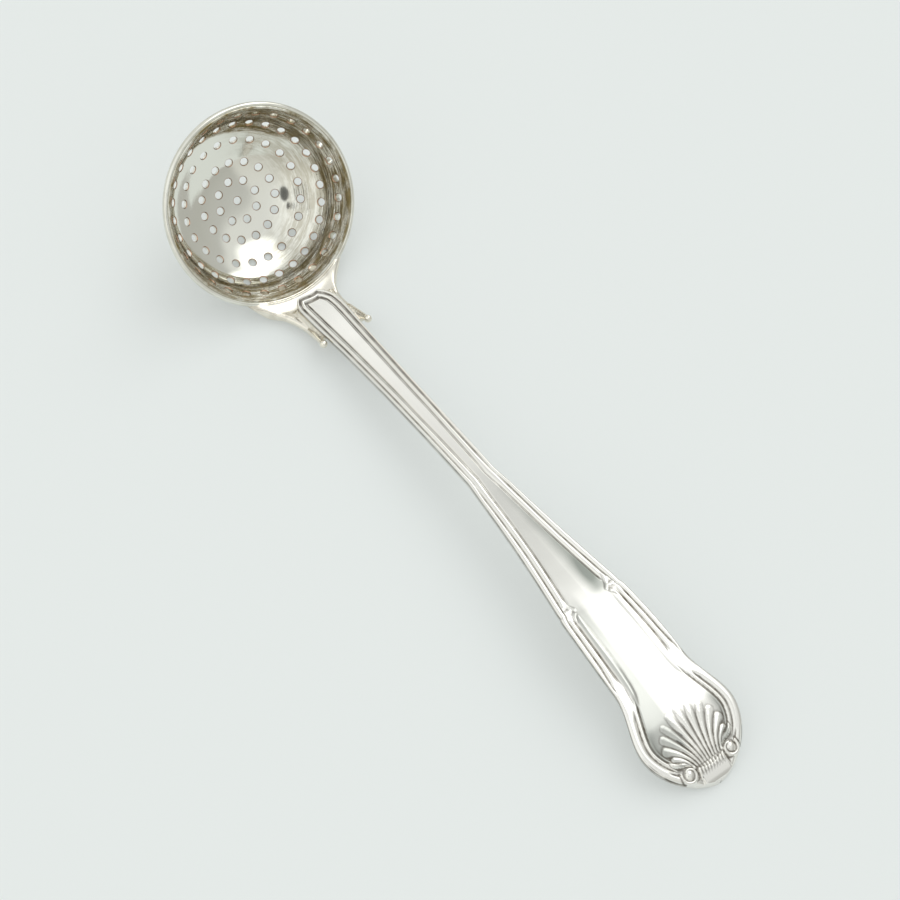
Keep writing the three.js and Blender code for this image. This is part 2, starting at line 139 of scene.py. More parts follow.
class ShellSizes(bpy.types.PropertyGroup):
    lobes: IntProperty(name="Lobes", description="Of the shell", default=11)
    lobe_rise: length("Lobe rise", "Of a lobe's fullest part over its ground", 0.62)
    ridges: IntProperty(name="Ridges", description="Of the band at the shell's root", default=9)
    eye_radius: length("Scroll eye", "Radius of the button in each scroll", 1.15)


class YokeSizes(bpy.types.PropertyGroup):
    wing_angle: angle("Wing angle", "How far round the mouth each wing reaches", 44)
    wing_thickness: length("Wing thickness", "Of the left wing a little away from the handle", 3.2)
    ball_radius: length("Ball radius", "Of the small ball that ends each spur", 0.88)
    silver: colour("Silver", "Colour of the filed silver", "#F1ECE0")


class StageSettings(bpy.types.PropertyGroup):
    floor: colour("Table", "Colour of the tabletop", "#E5E9E8")
    lit_share: FloatProperty(name="Lit share", default=0.32, min=0, max=1,
                             description="How much of the table's own colour shows in its shadows")
    room_strength: FloatProperty(name="Room light", description="Strength of the room's even light",
                                 default=1.1)
    lamp_strength: FloatProperty(name="Lamps", default=1.3,
                                 description="How much brighter the soft lamps are than the room")
    camera_distance: FloatProperty(name="Camera distance", description="From the camera to the ladle's middle",
                                   default=0.612987, unit="LENGTH")
    camera_lens: FloatProperty(name="Lens", description="Focal length of the camera", default=116.0,
                               unit="CAMERA")


def in_mm(value):
    return value / MM


# Curves

def ease(t):
    """A share that leaves 0 and reaches 1 gently."""
    t = np.clip(t, 0, 1)
    return t * t * (3 - 2 * t)


def ease_slope(t):
    """How steeply ease rises at a share."""
    t = np.clip(t, 0, 1)
    return 6 * t * (1 - t)


def window(x, start, rise, end, fall):
    """A share that eases up to 1 over the rise from the start, and down to 0 over the fall from the end."""
    return ease((x - start) / rise) * (1 - ease((x - end) / fall))


def round_bump(turn, middle, width):
    """A share of 1 at a middle angle round the bowl that fades over a width, all in radians."""
    away = (turn - middle + math.pi) % (2 * math.pi) - math.pi
    return np.exp(-(away / width) ** 2)


def from_table(rows, x):
    """A value read between the rows of a table, each a distance and its value."""
    xs, ys = zip(*rows)
    return np.interp(x, xs, ys)


# Mesh helpers

def closed_mesh(name, points, faces):
    """A named object from points in plan millimetres, with its faces turned outwards."""
    points = np.asarray(points, float)
    tris = np.array([(f[0], f[i], f[i + 1]) for f in faces for i in range(1, len(f) - 1)])
    a, b, c = points[tris[:, 0]], points[tris[:, 1]], points[tris[:, 2]]
    if np.einsum("ij,ij->i", a, np.cross(b, c)).sum() < 0:
        faces = [tuple(reversed(f)) for f in faces]
    mesh = bpy.data.meshes.new(name)
    mesh.from_pydata((points * MM).tolist(), [], faces)
    mesh.validate()
    mesh.shade_smooth()
    obj = bpy.data.objects.new(name, mesh)
    bpy.context.scene.collection.objects.link(obj)
    return obj


def shift_to_frame(obj):
    """Moves a mesh made from the middle of the mouth, in plan, to its place in the frame."""
    obj.data.transform(Matrix.Translation((MOUTH_X * MM, 0, 0)))


def bowl_matrix(sizes):
    """Where the bowl's own axis and mouth stand, in metres."""
    return Matrix.Translation((MOUTH_X * MM, 0, MOUTH_Z * MM)) @ Matrix.Rotation(sizes.lean, 4, "Y")


def read(items, name, width=1, kind=float):
    """A value, or a row of values, from each vertex, corner or face of a mesh."""
    values = np.zeros(len(items) * width, kind)
    items.foreach_get(name, values)
    return values.reshape(-1, width) if width > 1 else values


def store(obj, name, kind, values):
    """Writes one value or vector for each vertex."""
    attribute = obj.data.attributes.new(name, kind, "POINT")
    field = "vector" if kind == "FLOAT_VECTOR" else "value"
    attribute.data.foreach_set(field, np.asarray(values, np.float32).ravel())


def settle(obj, node, material):
    """Gives a finished piece its material and puts it in the frame in place of its CAD node."""
    if not obj.data.materials:
        obj.data.materials.append(material)
    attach(obj, "root")
    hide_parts(node)


def nearest(line, points):
    """Number and distance of the point of a line that lies nearest to each of some points, all flat."""
    tree = kdtree.KDTree(len(line))
    for i, (a, b) in enumerate(line):
        tree.insert((a, b, 0), i)
    tree.balance()
    hits = [tree.find((a, b, 0)) for a, b in points]
    return np.array([hit[1] for hit in hits]), np.array([hit[2] for hit in hits])


def ring_faces(rows, count, closed=False):
    """Four-sided faces between rows of points, each of which closes in a ring."""
    faces = []
    for i in range(rows if closed else rows - 1):
        low, high = i * count, (i + 1) % rows * count
        faces += [(low + j, low + (j + 1) % count, high + (j + 1) % count, high + j) for j in range(count)]
    return faces


def turned_skin(profile, segments, shape):
    """A turned skin from a profile of radius and height. Ends on the axis close in a pole, and a profile with
    no end on the axis closes in itself. The shape function moves the points of each turn."""
    profile = np.asarray(profile, float)
    on_axis = profile[0, 0] < 1e-6
    body = profile[1:-1] if on_axis else profile
    turn = np.linspace(0, 2 * math.pi, segments, endpoint=False)
    radius, angles = np.meshgrid(body[:, 0], turn, indexing="ij")
    radius, height = shape(radius, np.repeat(body[:, 1][:, None], segments, 1), angles)
    points = np.stack([radius * np.cos(angles), radius * np.sin(angles), height], -1).reshape(-1, 3)
    faces = ring_faces(len(body), segments, closed=not on_axis)
    if on_axis:
        start, end, last = len(points), len(points) + 1, (len(body) - 1) * segments
        points = np.vstack([points, [0, 0, profile[0, 1]], [0, 0, profile[-1, 1]]])
        for j in range(segments):
            k = (j + 1) % segments
            faces += [(start, k, j), (end, last + j, last + k)]
    return points, faces


# Materials. Patterns that hang on Object coordinates have scales per metre: 160 gives patches some 6 mm across.

HOLE_BROWN, HOLE_DARK_BROWN = "#D2A98E", "#8C6A53"
YOKE_TARNISH = "#8A7A5E"


def linear(code):
    """A linear colour from an sRGB hex value."""
    shares = [int(code[i:i + 2], 16) / 255 for i in (1, 3, 5)]
    return [s / 12.92 if s <= 0.04045 else ((s + 0.055) / 1.055) ** 2.4 for s in shares] + [1.0]


def add_node(tree, kind, links=None, **settings):
    """Adds a node with its settings. Links give each input socket a value or another node's output."""
    node = tree.nodes.new(kind)
    for name, value in settings.items():
        setattr(node, name, value)
    for socket, source in (links or {}).items():
        if isinstance(source, bpy.types.NodeSocket):
            tree.links.new(source, node.inputs[socket])
        else:
            node.inputs[socket].default_value = source
    return node


def silver_material(name, finish):
    """A new material with its shader. The finish function adds the nodes of its own surface and returns the node
    that mixes its colour."""
    material = bpy.data.materials.new(name)
    material.use_nodes = True
    tree = material.node_tree
    tree.nodes.clear()
    shader = add_node(tree, "ShaderNodeBsdfPrincipled", {"Metallic": 1.0})
    add_node(tree, "ShaderNodeOutputMaterial", {"Surface": shader.outputs["BSDF"]})
    tree.links.new(finish(tree, shader).outputs[2], shader.inputs["Base Color"])
    return material


def fine_wear(tree, shader, low, high, scratch_height):
    """Fine handling scratches about 0.1 mm wide and cloudy rubbed patches some 6 mm across. The scratches are
    drawn coarser than the real ones, which are too fine to show. Returns the place and the scratched normal."""
    place = add_node(tree, "ShaderNodeTexCoord").outputs["Object"]
    rubbed = add_node(tree, "ShaderNodeTexNoise", {"Vector": place, "Scale": 160.0, "Detail": 4.0})
    gloss = add_node(tree, "ShaderNodeMapRange", {"Value": rubbed.outputs["Fac"], "From Min": 0.3, "From Max": 0.7,
                                                  "To Min": low, "To Max": high})
    tree.links.new(gloss.outputs["Result"], shader.inputs["Roughness"])
    drawn = add_node(tree, "ShaderNodeMapping", {"Vector": place, "Rotation": (0.2, 0.3, 0.65),
                                                 "Scale": (500.0, 9000.0, 5000.0)})
    scratches = add_node(tree, "ShaderNodeTexNoise", {"Vector": drawn.outputs["Vector"], "Scale": 1.0,
                                                      "Detail": 2.0})
    bump = add_node(tree, "ShaderNodeBump", {"Height": scratches.outputs["Fac"], "Strength": 0.12,
                                             "Distance": scratch_height})
    tree.links.new(bump.outputs["Normal"], shader.inputs["Normal"])
    return place, bump.outputs["Normal"]


def planished_silver(sizes):
    """Sterling silver sheet, raised with a hammer and polished in the bowl's floor. The floor reflects the room
    clearly. The steep wall keeps fine streaks round the bowl, drawn by the turning polish, and khaki between them
    that is partly tarnish and partly painted shade darkening the wall's reflections. Darker painted streaks follow
    the bumped lines, and one side of the floor carries a painted cream reflection in the same khaki."""
    def finish(tree, shader):
        scratched = fine_wear(tree, shader, 0.05, 0.12, 0.000006)[1]
        around = add_node(tree, "ShaderNodeAttribute", attribute_name="hammering").outputs["Vector"]
        wall = add_node(tree, "ShaderNodeAttribute", attribute_name="wall").outputs["Fac"]
        drawn = add_node(tree, "ShaderNodeMapping", {"Vector": around, "Scale": (0.45, 0.45, 2.3)})
        lines = add_node(tree, "ShaderNodeTexNoise", {"Vector": drawn.outputs["Vector"], "Scale": 1.0,
                                                      "Detail": 4.0, "Roughness": 0.6}).outputs["Fac"]
        strength = add_node(tree, "ShaderNodeMapRange", {"Value": wall, "From Min": 0.3, "From Max": 1.0,
                                                         "To Min": 0.01, "To Max": 0.8})
        streaked = add_node(tree, "ShaderNodeBump", {"Height": lines, "Strength": strength.outputs["Result"],
                                                     "Normal": scratched, "Distance": 0.0007})
        tree.links.new(streaked.outputs["Normal"], shader.inputs["Normal"])
        patches = add_node(tree, "ShaderNodeTexNoise", {"Vector": around, "Scale": 0.5, "Detail": 5.0,
                                                        "Roughness": 0.65})
        # Khaki is laid thicker along the bumped streak lines: tarnish, and painted shade for darker reflections in
        # the streaks
        both = add_node(tree, "ShaderNodeMath", {0: lines, 1: 0.75, 2: patches.outputs["Fac"]},
                        operation="MULTIPLY_ADD")
        uneven = add_node(tree, "ShaderNodeMapRange", {"Value": both.outputs[0], "From Min": 0.74,
                                                       "From Max": 0.98, "To Min": 0.08, "To Max": 1.0})
        tint = add_node(tree, "ShaderNodeMath", {0: uneven.outputs["Result"], 1: wall}, operation="MULTIPLY")
        return add_node(tree, "ShaderNodeMix", {0: tint.outputs[0], 6: linear(sizes.silver),
                                                7: linear(sizes.tarnish)}, data_type="RGBA")
    return silver_material("planished sterling silver", finish)


def pierced_edge_silver():
    """The cut walls of the pierced holes. The saw and drill left them rough and polish doesn't reach them. They
    are coloured a warm brown, darker in spots."""
    def finish(tree, shader):
        place = fine_wear(tree, shader, 0.28, 0.4, 0.00002)[0]
        spots = add_node(tree, "ShaderNodeTexNoise", {"Vector": place, "Scale": 900.0, "Detail": 2.0})
        return add_node(tree, "ShaderNodeMix", {0: spots.outputs["Fac"], 6: linear(HOLE_BROWN),
                                                7: linear(HOLE_DARK_BROWN)}, data_type="RGBA")
    return silver_material("pierced silver edge", finish)


def cloudy_tarnish(tree, place, scale, detail, start, most, silver, tarnish):
    """A silver's colour with tarnish in soft patches, which set in at a level of the noise and hold no more than
    the most of it."""
    patches = add_node(tree, "ShaderNodeTexNoise", {"Vector": place, "Scale": scale, "Detail": detail})
    share = add_node(tree, "ShaderNodeMapRange", {"Value": patches.outputs["Fac"], "From Min": start,
                                                  "From Max": 0.8, "To Min": 0.0, "To Max": most})
    return add_node(tree, "ShaderNodeMix", {0: share.outputs["Result"], 6: linear(silver), 7: linear(tarnish)},
                    data_type="RGBA")


def drawn_wire_silver(sizes):
    """Half-round wire, drawn through a plate and burnished after soldering, so it shines brightest of all."""
    def finish(tree, shader):
        place = fine_wear(tree, shader, 0.07, 0.16, 0.000008)[0]
        return cloudy_tarnish(tree, place, 220.0, 3.0, 0.45, 0.25, sizes.silver, sizes.tarnish)
    return silver_material("drawn silver wire", finish)


def struck_silver(sizes):
    """Sterling silver struck between dies and polished by hand for years: the high parts shine and the grooves
    keep dark tarnish. A grey painted shade lies on parts of the panel, in place of darker reflections and of shade
    on the sunk ground round the shell."""
    def finish(tree, shader):
        place = fine_wear(tree, shader, 0.09, 0.2, 0.000012)[0]
        hollow = add_node(tree, "ShaderNodeAttribute", attribute_name="tarnish")
        cloud = add_node(tree, "ShaderNodeTexNoise", {"Vector": place, "Scale": 420.0, "Detail": 4.0})
        uneven = add_node(tree, "ShaderNodeMapRange", {"Value": cloud.outputs["Fac"], "From Min": 0.3,
                                                       "From Max": 0.7, "To Min": 0.55, "To Max": 1.0})
        share = add_node(tree, "ShaderNodeMath", {0: hollow.outputs["Fac"], 1: uneven.outputs["Result"]},
                         operation="MULTIPLY")
        # The panel's painted grey shade, standing in for darker reflections and for shade round the shell
        painted_shade = add_node(tree, "ShaderNodeAttribute", attribute_name="painted_shade")
        with_painted_shade = add_node(tree, "ShaderNodeMix", {0: painted_shade.outputs["Fac"], 6: linear(sizes.silver),
                                                  7: linear(sizes.painted_shade)}, data_type="RGBA")
        return add_node(tree, "ShaderNodeMix", {0: share.outputs[0], 6: with_painted_shade.outputs[2],
                                                7: linear(sizes.tarnish)}, data_type="RGBA")
    return silver_material("struck sterling silver", finish)


def filed_silver(sizes):
    """Forged silver, filed to shape round the bowl and only lightly polished, so it is a little softer than the
    handle, with some tarnish in cloudy patches."""
    def finish(tree, shader):
        place = fine_wear(tree, shader, 0.14, 0.26, 0.000015)[0]
        return cloudy_tarnish(tree, place, 300.0, 4.0, 0.5, 0.5, sizes.silver, YOKE_TARNISH)
    return silver_material("filed sterling silver", finish)


# Bowl and rim wire. Distances along the wall run in millimetres from the middle of the floor.

CREASE_START, CREASE_RISE, CREASE_END, CREASE_FADE = 12, 7.6, 19.6, 3.2
FOOT_START, FOOT_END, FOOT_FADE = 17, 23.2, 2.2
UPPER_START, UPPER_END, UPPER_FADE = 19.5, 26.2, 2.2
WALL_BLEND = 3  # over which the foot and the upper wall thicken
THIN_SIDE, THIN_WIDTH = math.radians(223), 1.05  # the wall's thin left side, in radians round the bowl
FOOT_LEFT_WHEN_THIN = 0.4  # share of the foot's thickness that the thin side keeps
# Left side, where the shading makes the floor look flatter and the turn into the wall tighter, in radians
FLAT_SIDE, FLAT_WIDTH = math.radians(215), 1.2
# Where the shading turns up from the floor and where it settles on the wall, each a start and a run
SHADE_RISE, SHADE_RISE_RUN, SHADE_FALL, SHADE_FALL_RUN = 12.6, 7.0, 19.6, 2.6
SHADE_STRENGTH, FLAT_STRENGTH = 0.3, 0.45
STREAK_SIDE, STREAK_WIDTH = math.radians(150), math.radians(45)  # where the khaki of tarnish and painted shade starts lower on the wall
PAINTED_REFLECTION_SIDE, PAINTED_REFLECTION_SHARE = math.radians(75), 0.42  # a painted cream reflection that tints one side of the floor towards the khaki
SAME_PLACE, SKIN_REACH = 0.05, 0.6  # from the inside: its own points, and those that count as the wall's skin
# Hammer marks as waves: how many along a millimetre of wall, how many round the bowl, and their phase
HAMMER_WAVES = [(0.62, 23, 0.4), (0.9, 37, 2.1), (1.35, 17, 4.4), (2.2, 51, 1.3), (0.45, 11, 5.2),
                (1.7, 29, 3.3)]
BOWL_SEGMENTS, HOLE_SIDES = 288, 24
DRILL_REACH = 6  # length of a drill, as a multiple of the sheet's thickness
# What the piercing tree is told about each ring. Lean and rise aim the drill, across the bowl's axis and along it.
RING_INPUTS = ("holes", "radius", "height", "turn", "lean", "rise")
WIRE_BITE, WIRE_SPREAD = 0.02, 0.14  # how far the rim wire bites into the wall, and spreads beyond its width


def wall_curve(sizes, extra, count):
    """Radius, height and distance along the wall, from the middle of the floor to the mouth. It is the inside
    with no extra thickness, and otherwise the outside."""
    mouth = in_mm(sizes.mouth_radius) + extra
    radius = mouth * np.sin(np.linspace(0, math.pi / 2, 900))
    deep = (in_mm(sizes.depth) + extra) * np.maximum(0, 1 - (radius / mouth) ** sizes.flatness) ** sizes.flare
    arc = np.concatenate([[0], np.cumsum(np.hypot(np.diff(radius), np.diff(deep)))])
    at = np.linspace(0, arc[-1], count)
    radius, height = np.interp(at, arc, radius), -np.interp(at, arc, deep)
    if extra == 0:
        slope_r, slope_z = np.gradient(radius), np.gradient(height)
        push = in_mm(sizes.crease) * window(at, CREASE_START, CREASE_RISE, CREASE_END, CREASE_FADE)
        radius = radius + push * slope_z / np.hypot(slope_r, slope_z)
        height = height - push * slope_r / np.hypot(slope_r, slope_z)
    return radius, height, at


def along_wall(curve, arc, step):
    """Direction along the wall at distances along a curve of wall_curve, as shares in radius and height."""
    slope_r, slope_z = (np.interp(arc + step, curve[2], line) - np.interp(arc - step, curve[2], line)
                        for line in curve[:2])
    run = np.hypot(slope_r, slope_z)
    return slope_r / run, slope_z / run


def hammer_marks(arc, turn, floor_arc):
    """Rings of shallow hammer marks on the steep wall, as a share of their depth. They fade out on the floor."""
    marks = np.zeros_like(arc)
    for step, (along, around, phase) in enumerate(HAMMER_WAVES):
        marks += np.sin(2 * math.pi * along * arc + around * turn + phase
                        + 1.7 * np.sin((3 + step) * turn + phase)) / (1 + 0.35 * step)
    return marks * np.clip((arc - floor_arc + 1.2) / 2.4, 0.02, 1) / 2.5


def bowl_skin(sizes):
    """The bowl before piercing, in its own place with the mouth's middle at the origin, in millimetres."""
    wall = in_mm(sizes.wall)
    lip = wall / 2
    radius, height, _ = wall_curve(sizes, 0, 92)
    inner = np.stack([radius, height], 1)[height < -lip]
    over = np.linspace(math.pi, 0, 9)
    lip_points = np.stack([in_mm(sizes.mouth_radius) + lip + lip * np.cos(over), -lip + lip * np.sin(over)], 1)
    radius, height, arc = wall_curve(sizes, wall, 56)
    slope_r, slope_z = np.gradient(radius), np.gradient(height)
    run = np.hypot(slope_r, slope_z)
    foot = in_mm(sizes.foot) * window(arc, FOOT_START, WALL_BLEND, FOOT_END, FOOT_FADE)
    upper = in_mm(sizes.upper) * window(arc, UPPER_START, WALL_BLEND, UPPER_END, UPPER_FADE)
    keep = height < -lip
    outer = np.stack([radius, height], 1)[keep][::-1]
    # The rows of the outside from the lip down, without the pole in the middle of the underside
    rows = slice(len(inner) + len(lip_points) - 1, None)
    parts = (slope_z / run, -slope_r / run, foot, upper)
    out_r, out_z, foot, upper = (part[keep][::-1][:-1, None] for part in parts)

    def thicken(radius, height, turn):
        """Thickens the outside at its foot and under the rim wire, but less on the wall's thin side."""
        thin = round_bump(turn[rows], THIN_SIDE, THIN_WIDTH)
        extra = np.maximum(foot * (1 - (1 - FOOT_LEFT_WHEN_THIN) * thin), upper * (1 - thin))
        radius, height = radius.copy(), height.copy()
        radius[rows] += out_r * extra
        height[rows] += out_z * extra
        return radius, height

    return turned_skin(np.vstack([inner, lip_points, outer]), BOWL_SEGMENTS, thicken)


def piercing_tree(sizes, silver, edge):
    """Node tree that drills rings of holes, and one in the middle, square to the wall. Returns it with the value
    of each of its inputs, by the socket's identifier."""
    tree = bpy.data.node_groups.new("pierce the bowl", "GeometryNodeTree")
    inputs = {}

    def take(kind, name, value):
        item = tree.interface.new_socket(name, in_out="INPUT", socket_type=kind)
        inputs[item.identifier] = value

    tree.interface.new_socket("Bowl", in_out="INPUT", socket_type="NodeSocketGeometry")
    for name, value in (("Hole radius", sizes.hole_radius), ("Chamfer", sizes.hole_chamfer),
                        ("Floor depth", -sizes.depth)):
        take("NodeSocketFloat", name, float(value))
    curve = wall_curve(sizes, 0, 400)
    for number, count, ring_arc, turn in zip(range(1, 6), sizes.ring_counts, sizes.ring_arcs, sizes.ring_turns):
        at = in_mm(ring_arc)
        radius, height = (float(np.interp(at, curve[2], line)) * MM for line in curve[:2])
        along_r, along_z = along_wall(curve, at, 0.1)
        take("NodeSocketInt", f"Ring {number} holes", int(count))
        for word, value in zip(RING_INPUTS[1:], (radius, height, turn, -along_z / radius, along_r)):
            take("NodeSocketFloat", f"Ring {number} {word}", float(value))
    tree.interface.new_socket("Bowl", in_out="OUTPUT", socket_type="NodeSocketGeometry")
    given = add_node(tree, "NodeGroupInput").outputs
    aimed = []
    for number in range(1, 6):
        count, radius, height, turn, lean, rise = (given[f"Ring {number} {word}"] for word in RING_INPUTS)
        circle = add_node(tree, "GeometryNodeMeshCircle", {"Vertices": count, "Radius": radius})
        place = add_node(tree, "ShaderNodeCombineXYZ", {"Z": height})
        turned = add_node(tree, "ShaderNodeCombineXYZ", {"Z": turn})
        ring = add_node(tree, "GeometryNodeTransform", {"Geometry": circle.outputs["Mesh"],
                                                        "Translation": place.outputs[0],
                                                        "Rotation": turned.outputs[0]})
        spot = add_node(tree, "GeometryNodeInputPosition")
        outward = add_node(tree, "ShaderNodeCombineXYZ", {"X": lean, "Y": lean})
        upward = add_node(tree, "ShaderNodeCombineXYZ", {"Z": rise})
        aim = add_node(tree, "ShaderNodeVectorMath", {0: spot.outputs[0], 1: outward.outputs[0],
                                                      2: upward.outputs[0]}, operation="MULTIPLY_ADD")
        aimed.append((ring.outputs[0], aim.outputs[0]))
    floor = add_node(tree, "ShaderNodeCombineXYZ", {"Z": given["Floor depth"]})
    middle = add_node(tree, "GeometryNodePoints", {"Count": 1, "Position": floor.outputs[0]})
    aimed.append((middle.outputs[0], (0.0, 0.0, 1.0)))
    join = add_node(tree, "GeometryNodeJoinGeometry")
    for points, aim in aimed:
        stored = add_node(tree, "GeometryNodeStoreNamedAttribute", {"Geometry": points, "Name": "aim",
                                                                    "Value": aim},
                          data_type="FLOAT_VECTOR", domain="POINT")
        tree.links.new(stored.outputs[0], join.inputs[0])
    aim = add_node(tree, "GeometryNodeInputNamedAttribute", {"Name": "aim"}, data_type="FLOAT_VECTOR")
    square = add_node(tree, "FunctionNodeAlignRotationToVector", {"Vector": aim.outputs[0]}, axis="Z")
    drill = add_node(tree, "GeometryNodeMeshCylinder", {"Vertices": HOLE_SIDES, "Radius": given["Hole radius"],
                                                        "Depth": DRILL_REACH * sizes.wall})
    half = add_node(tree, "ShaderNodeMath", {0: given["Hole radius"], 1: given["Chamfer"]}, operation="ADD")
    wide = add_node(tree, "ShaderNodeMath", {0: half.outputs[0], 1: given["Chamfer"]}, operation="ADD")
    cone = add_node(tree, "GeometryNodeMeshCone", {"Vertices": HOLE_SIDES, "Radius Top": wide.outputs[0],
                                                   "Radius Bottom": given["Hole radius"],
                                                   "Depth": sizes.hole_chamfer * 2})
    sunk = add_node(tree, "GeometryNodeTransform", {"Geometry": cone.outputs["Mesh"],
                                                    "Translation": (0.0, 0.0, -sizes.hole_chamfer)})
    cut = add_node(tree, "GeometryNodeSetMaterial", {"Geometry": given["Bowl"], "Material": silver}).outputs[0]
    for tool in (drill.outputs["Mesh"], sunk.outputs[0]):
        brown = add_node(tree, "GeometryNodeSetMaterial", {"Geometry": tool, "Material": edge})
        spread = add_node(tree, "GeometryNodeInstanceOnPoints", {"Points": join.outputs[0],
                                                                 "Instance": brown.outputs[0],
                                                                 "Rotation": square.outputs[0]})
        cutter = add_node(tree, "GeometryNodeRealizeInstances", {"Geometry": spread.outputs[0]})
        cut = add_node(tree, "GeometryNodeMeshBoolean", {"Mesh 1": cut, "Mesh 2": cutter.outputs[0]},
                       operation="DIFFERENCE", solver="MANIFOLD").outputs["Mesh"]
    real = add_node(tree, "GeometryNodeRealizeInstances", {"Geometry": cut})
    is_edge = add_node(tree, "GeometryNodeMaterialSelection", {"Material": edge})
    not_edge = add_node(tree, "FunctionNodeBooleanMath", {0: is_edge.outputs[0]}, operation="NOT")
    finish = add_node(tree, "GeometryNodeSetMaterial", {"Geometry": real.outputs[0], "Material": silver,
                                                        "Selection": not_edge.outputs[0]})
    add_node(tree, "NodeGroupOutput", {0: finish.outputs[0]})
    return tree, inputs


def wall_normals(sizes, points, arc, turn):
    """Directions square to the wall, towards the inside of the bowl, at points in its own place: those of the
    hammered surface and those of the plain curve."""
    step = 0.02
    slope_r, slope_z = along_wall(wall_curve(sizes, 0, 700), arc, step)
    cos, sin = np.cos(turn), np.sin(turn)
    along = np.stack([slope_r * cos, slope_r * sin, slope_z], 1)
    plain = np.stack([-slope_z * cos, -slope_z * sin, slope_r], 1)
    around = np.stack([-sin, cos, np.zeros_like(turn)], 1)
    depth, floor_arc = in_mm(sizes.planishing), in_mm(sizes.floor_arc)
    here = hammer_marks(arc, turn, floor_arc)
    by_arc = depth * (hammer_marks(arc + step, turn, floor_arc) - here) / step
    by_turn = depth * (hammer_marks(arc, turn + step, floor_arc) - here) / step
    radius = np.maximum(np.hypot(points[:, 0], points[:, 1]), 1)
    left = round_bump(turn, FLAT_SIDE, FLAT_WIDTH)
    rise = ease_slope((arc - SHADE_RISE) / SHADE_RISE_RUN) / SHADE_RISE_RUN
    fall = ease_slope((arc - SHADE_FALL) / SHADE_FALL_RUN) / SHADE_FALL_RUN
    flatter = FLAT_STRENGTH * np.clip((arc - 9) / 8.5, 0, 1) * (1 - ease((arc - 18.3) / 1.2))
    settling = SHADE_STRENGTH + (1 - SHADE_STRENGTH) * left
    tighter = SHADE_STRENGTH * rise * (1 - left) - settling * fall + flatter * left
    hammered = plain + along * (tighter - by_arc)[:, None] - around * (by_turn / radius)[:, None]
    return hammered / np.linalg.norm(hammered, axis=1)[:, None], plain


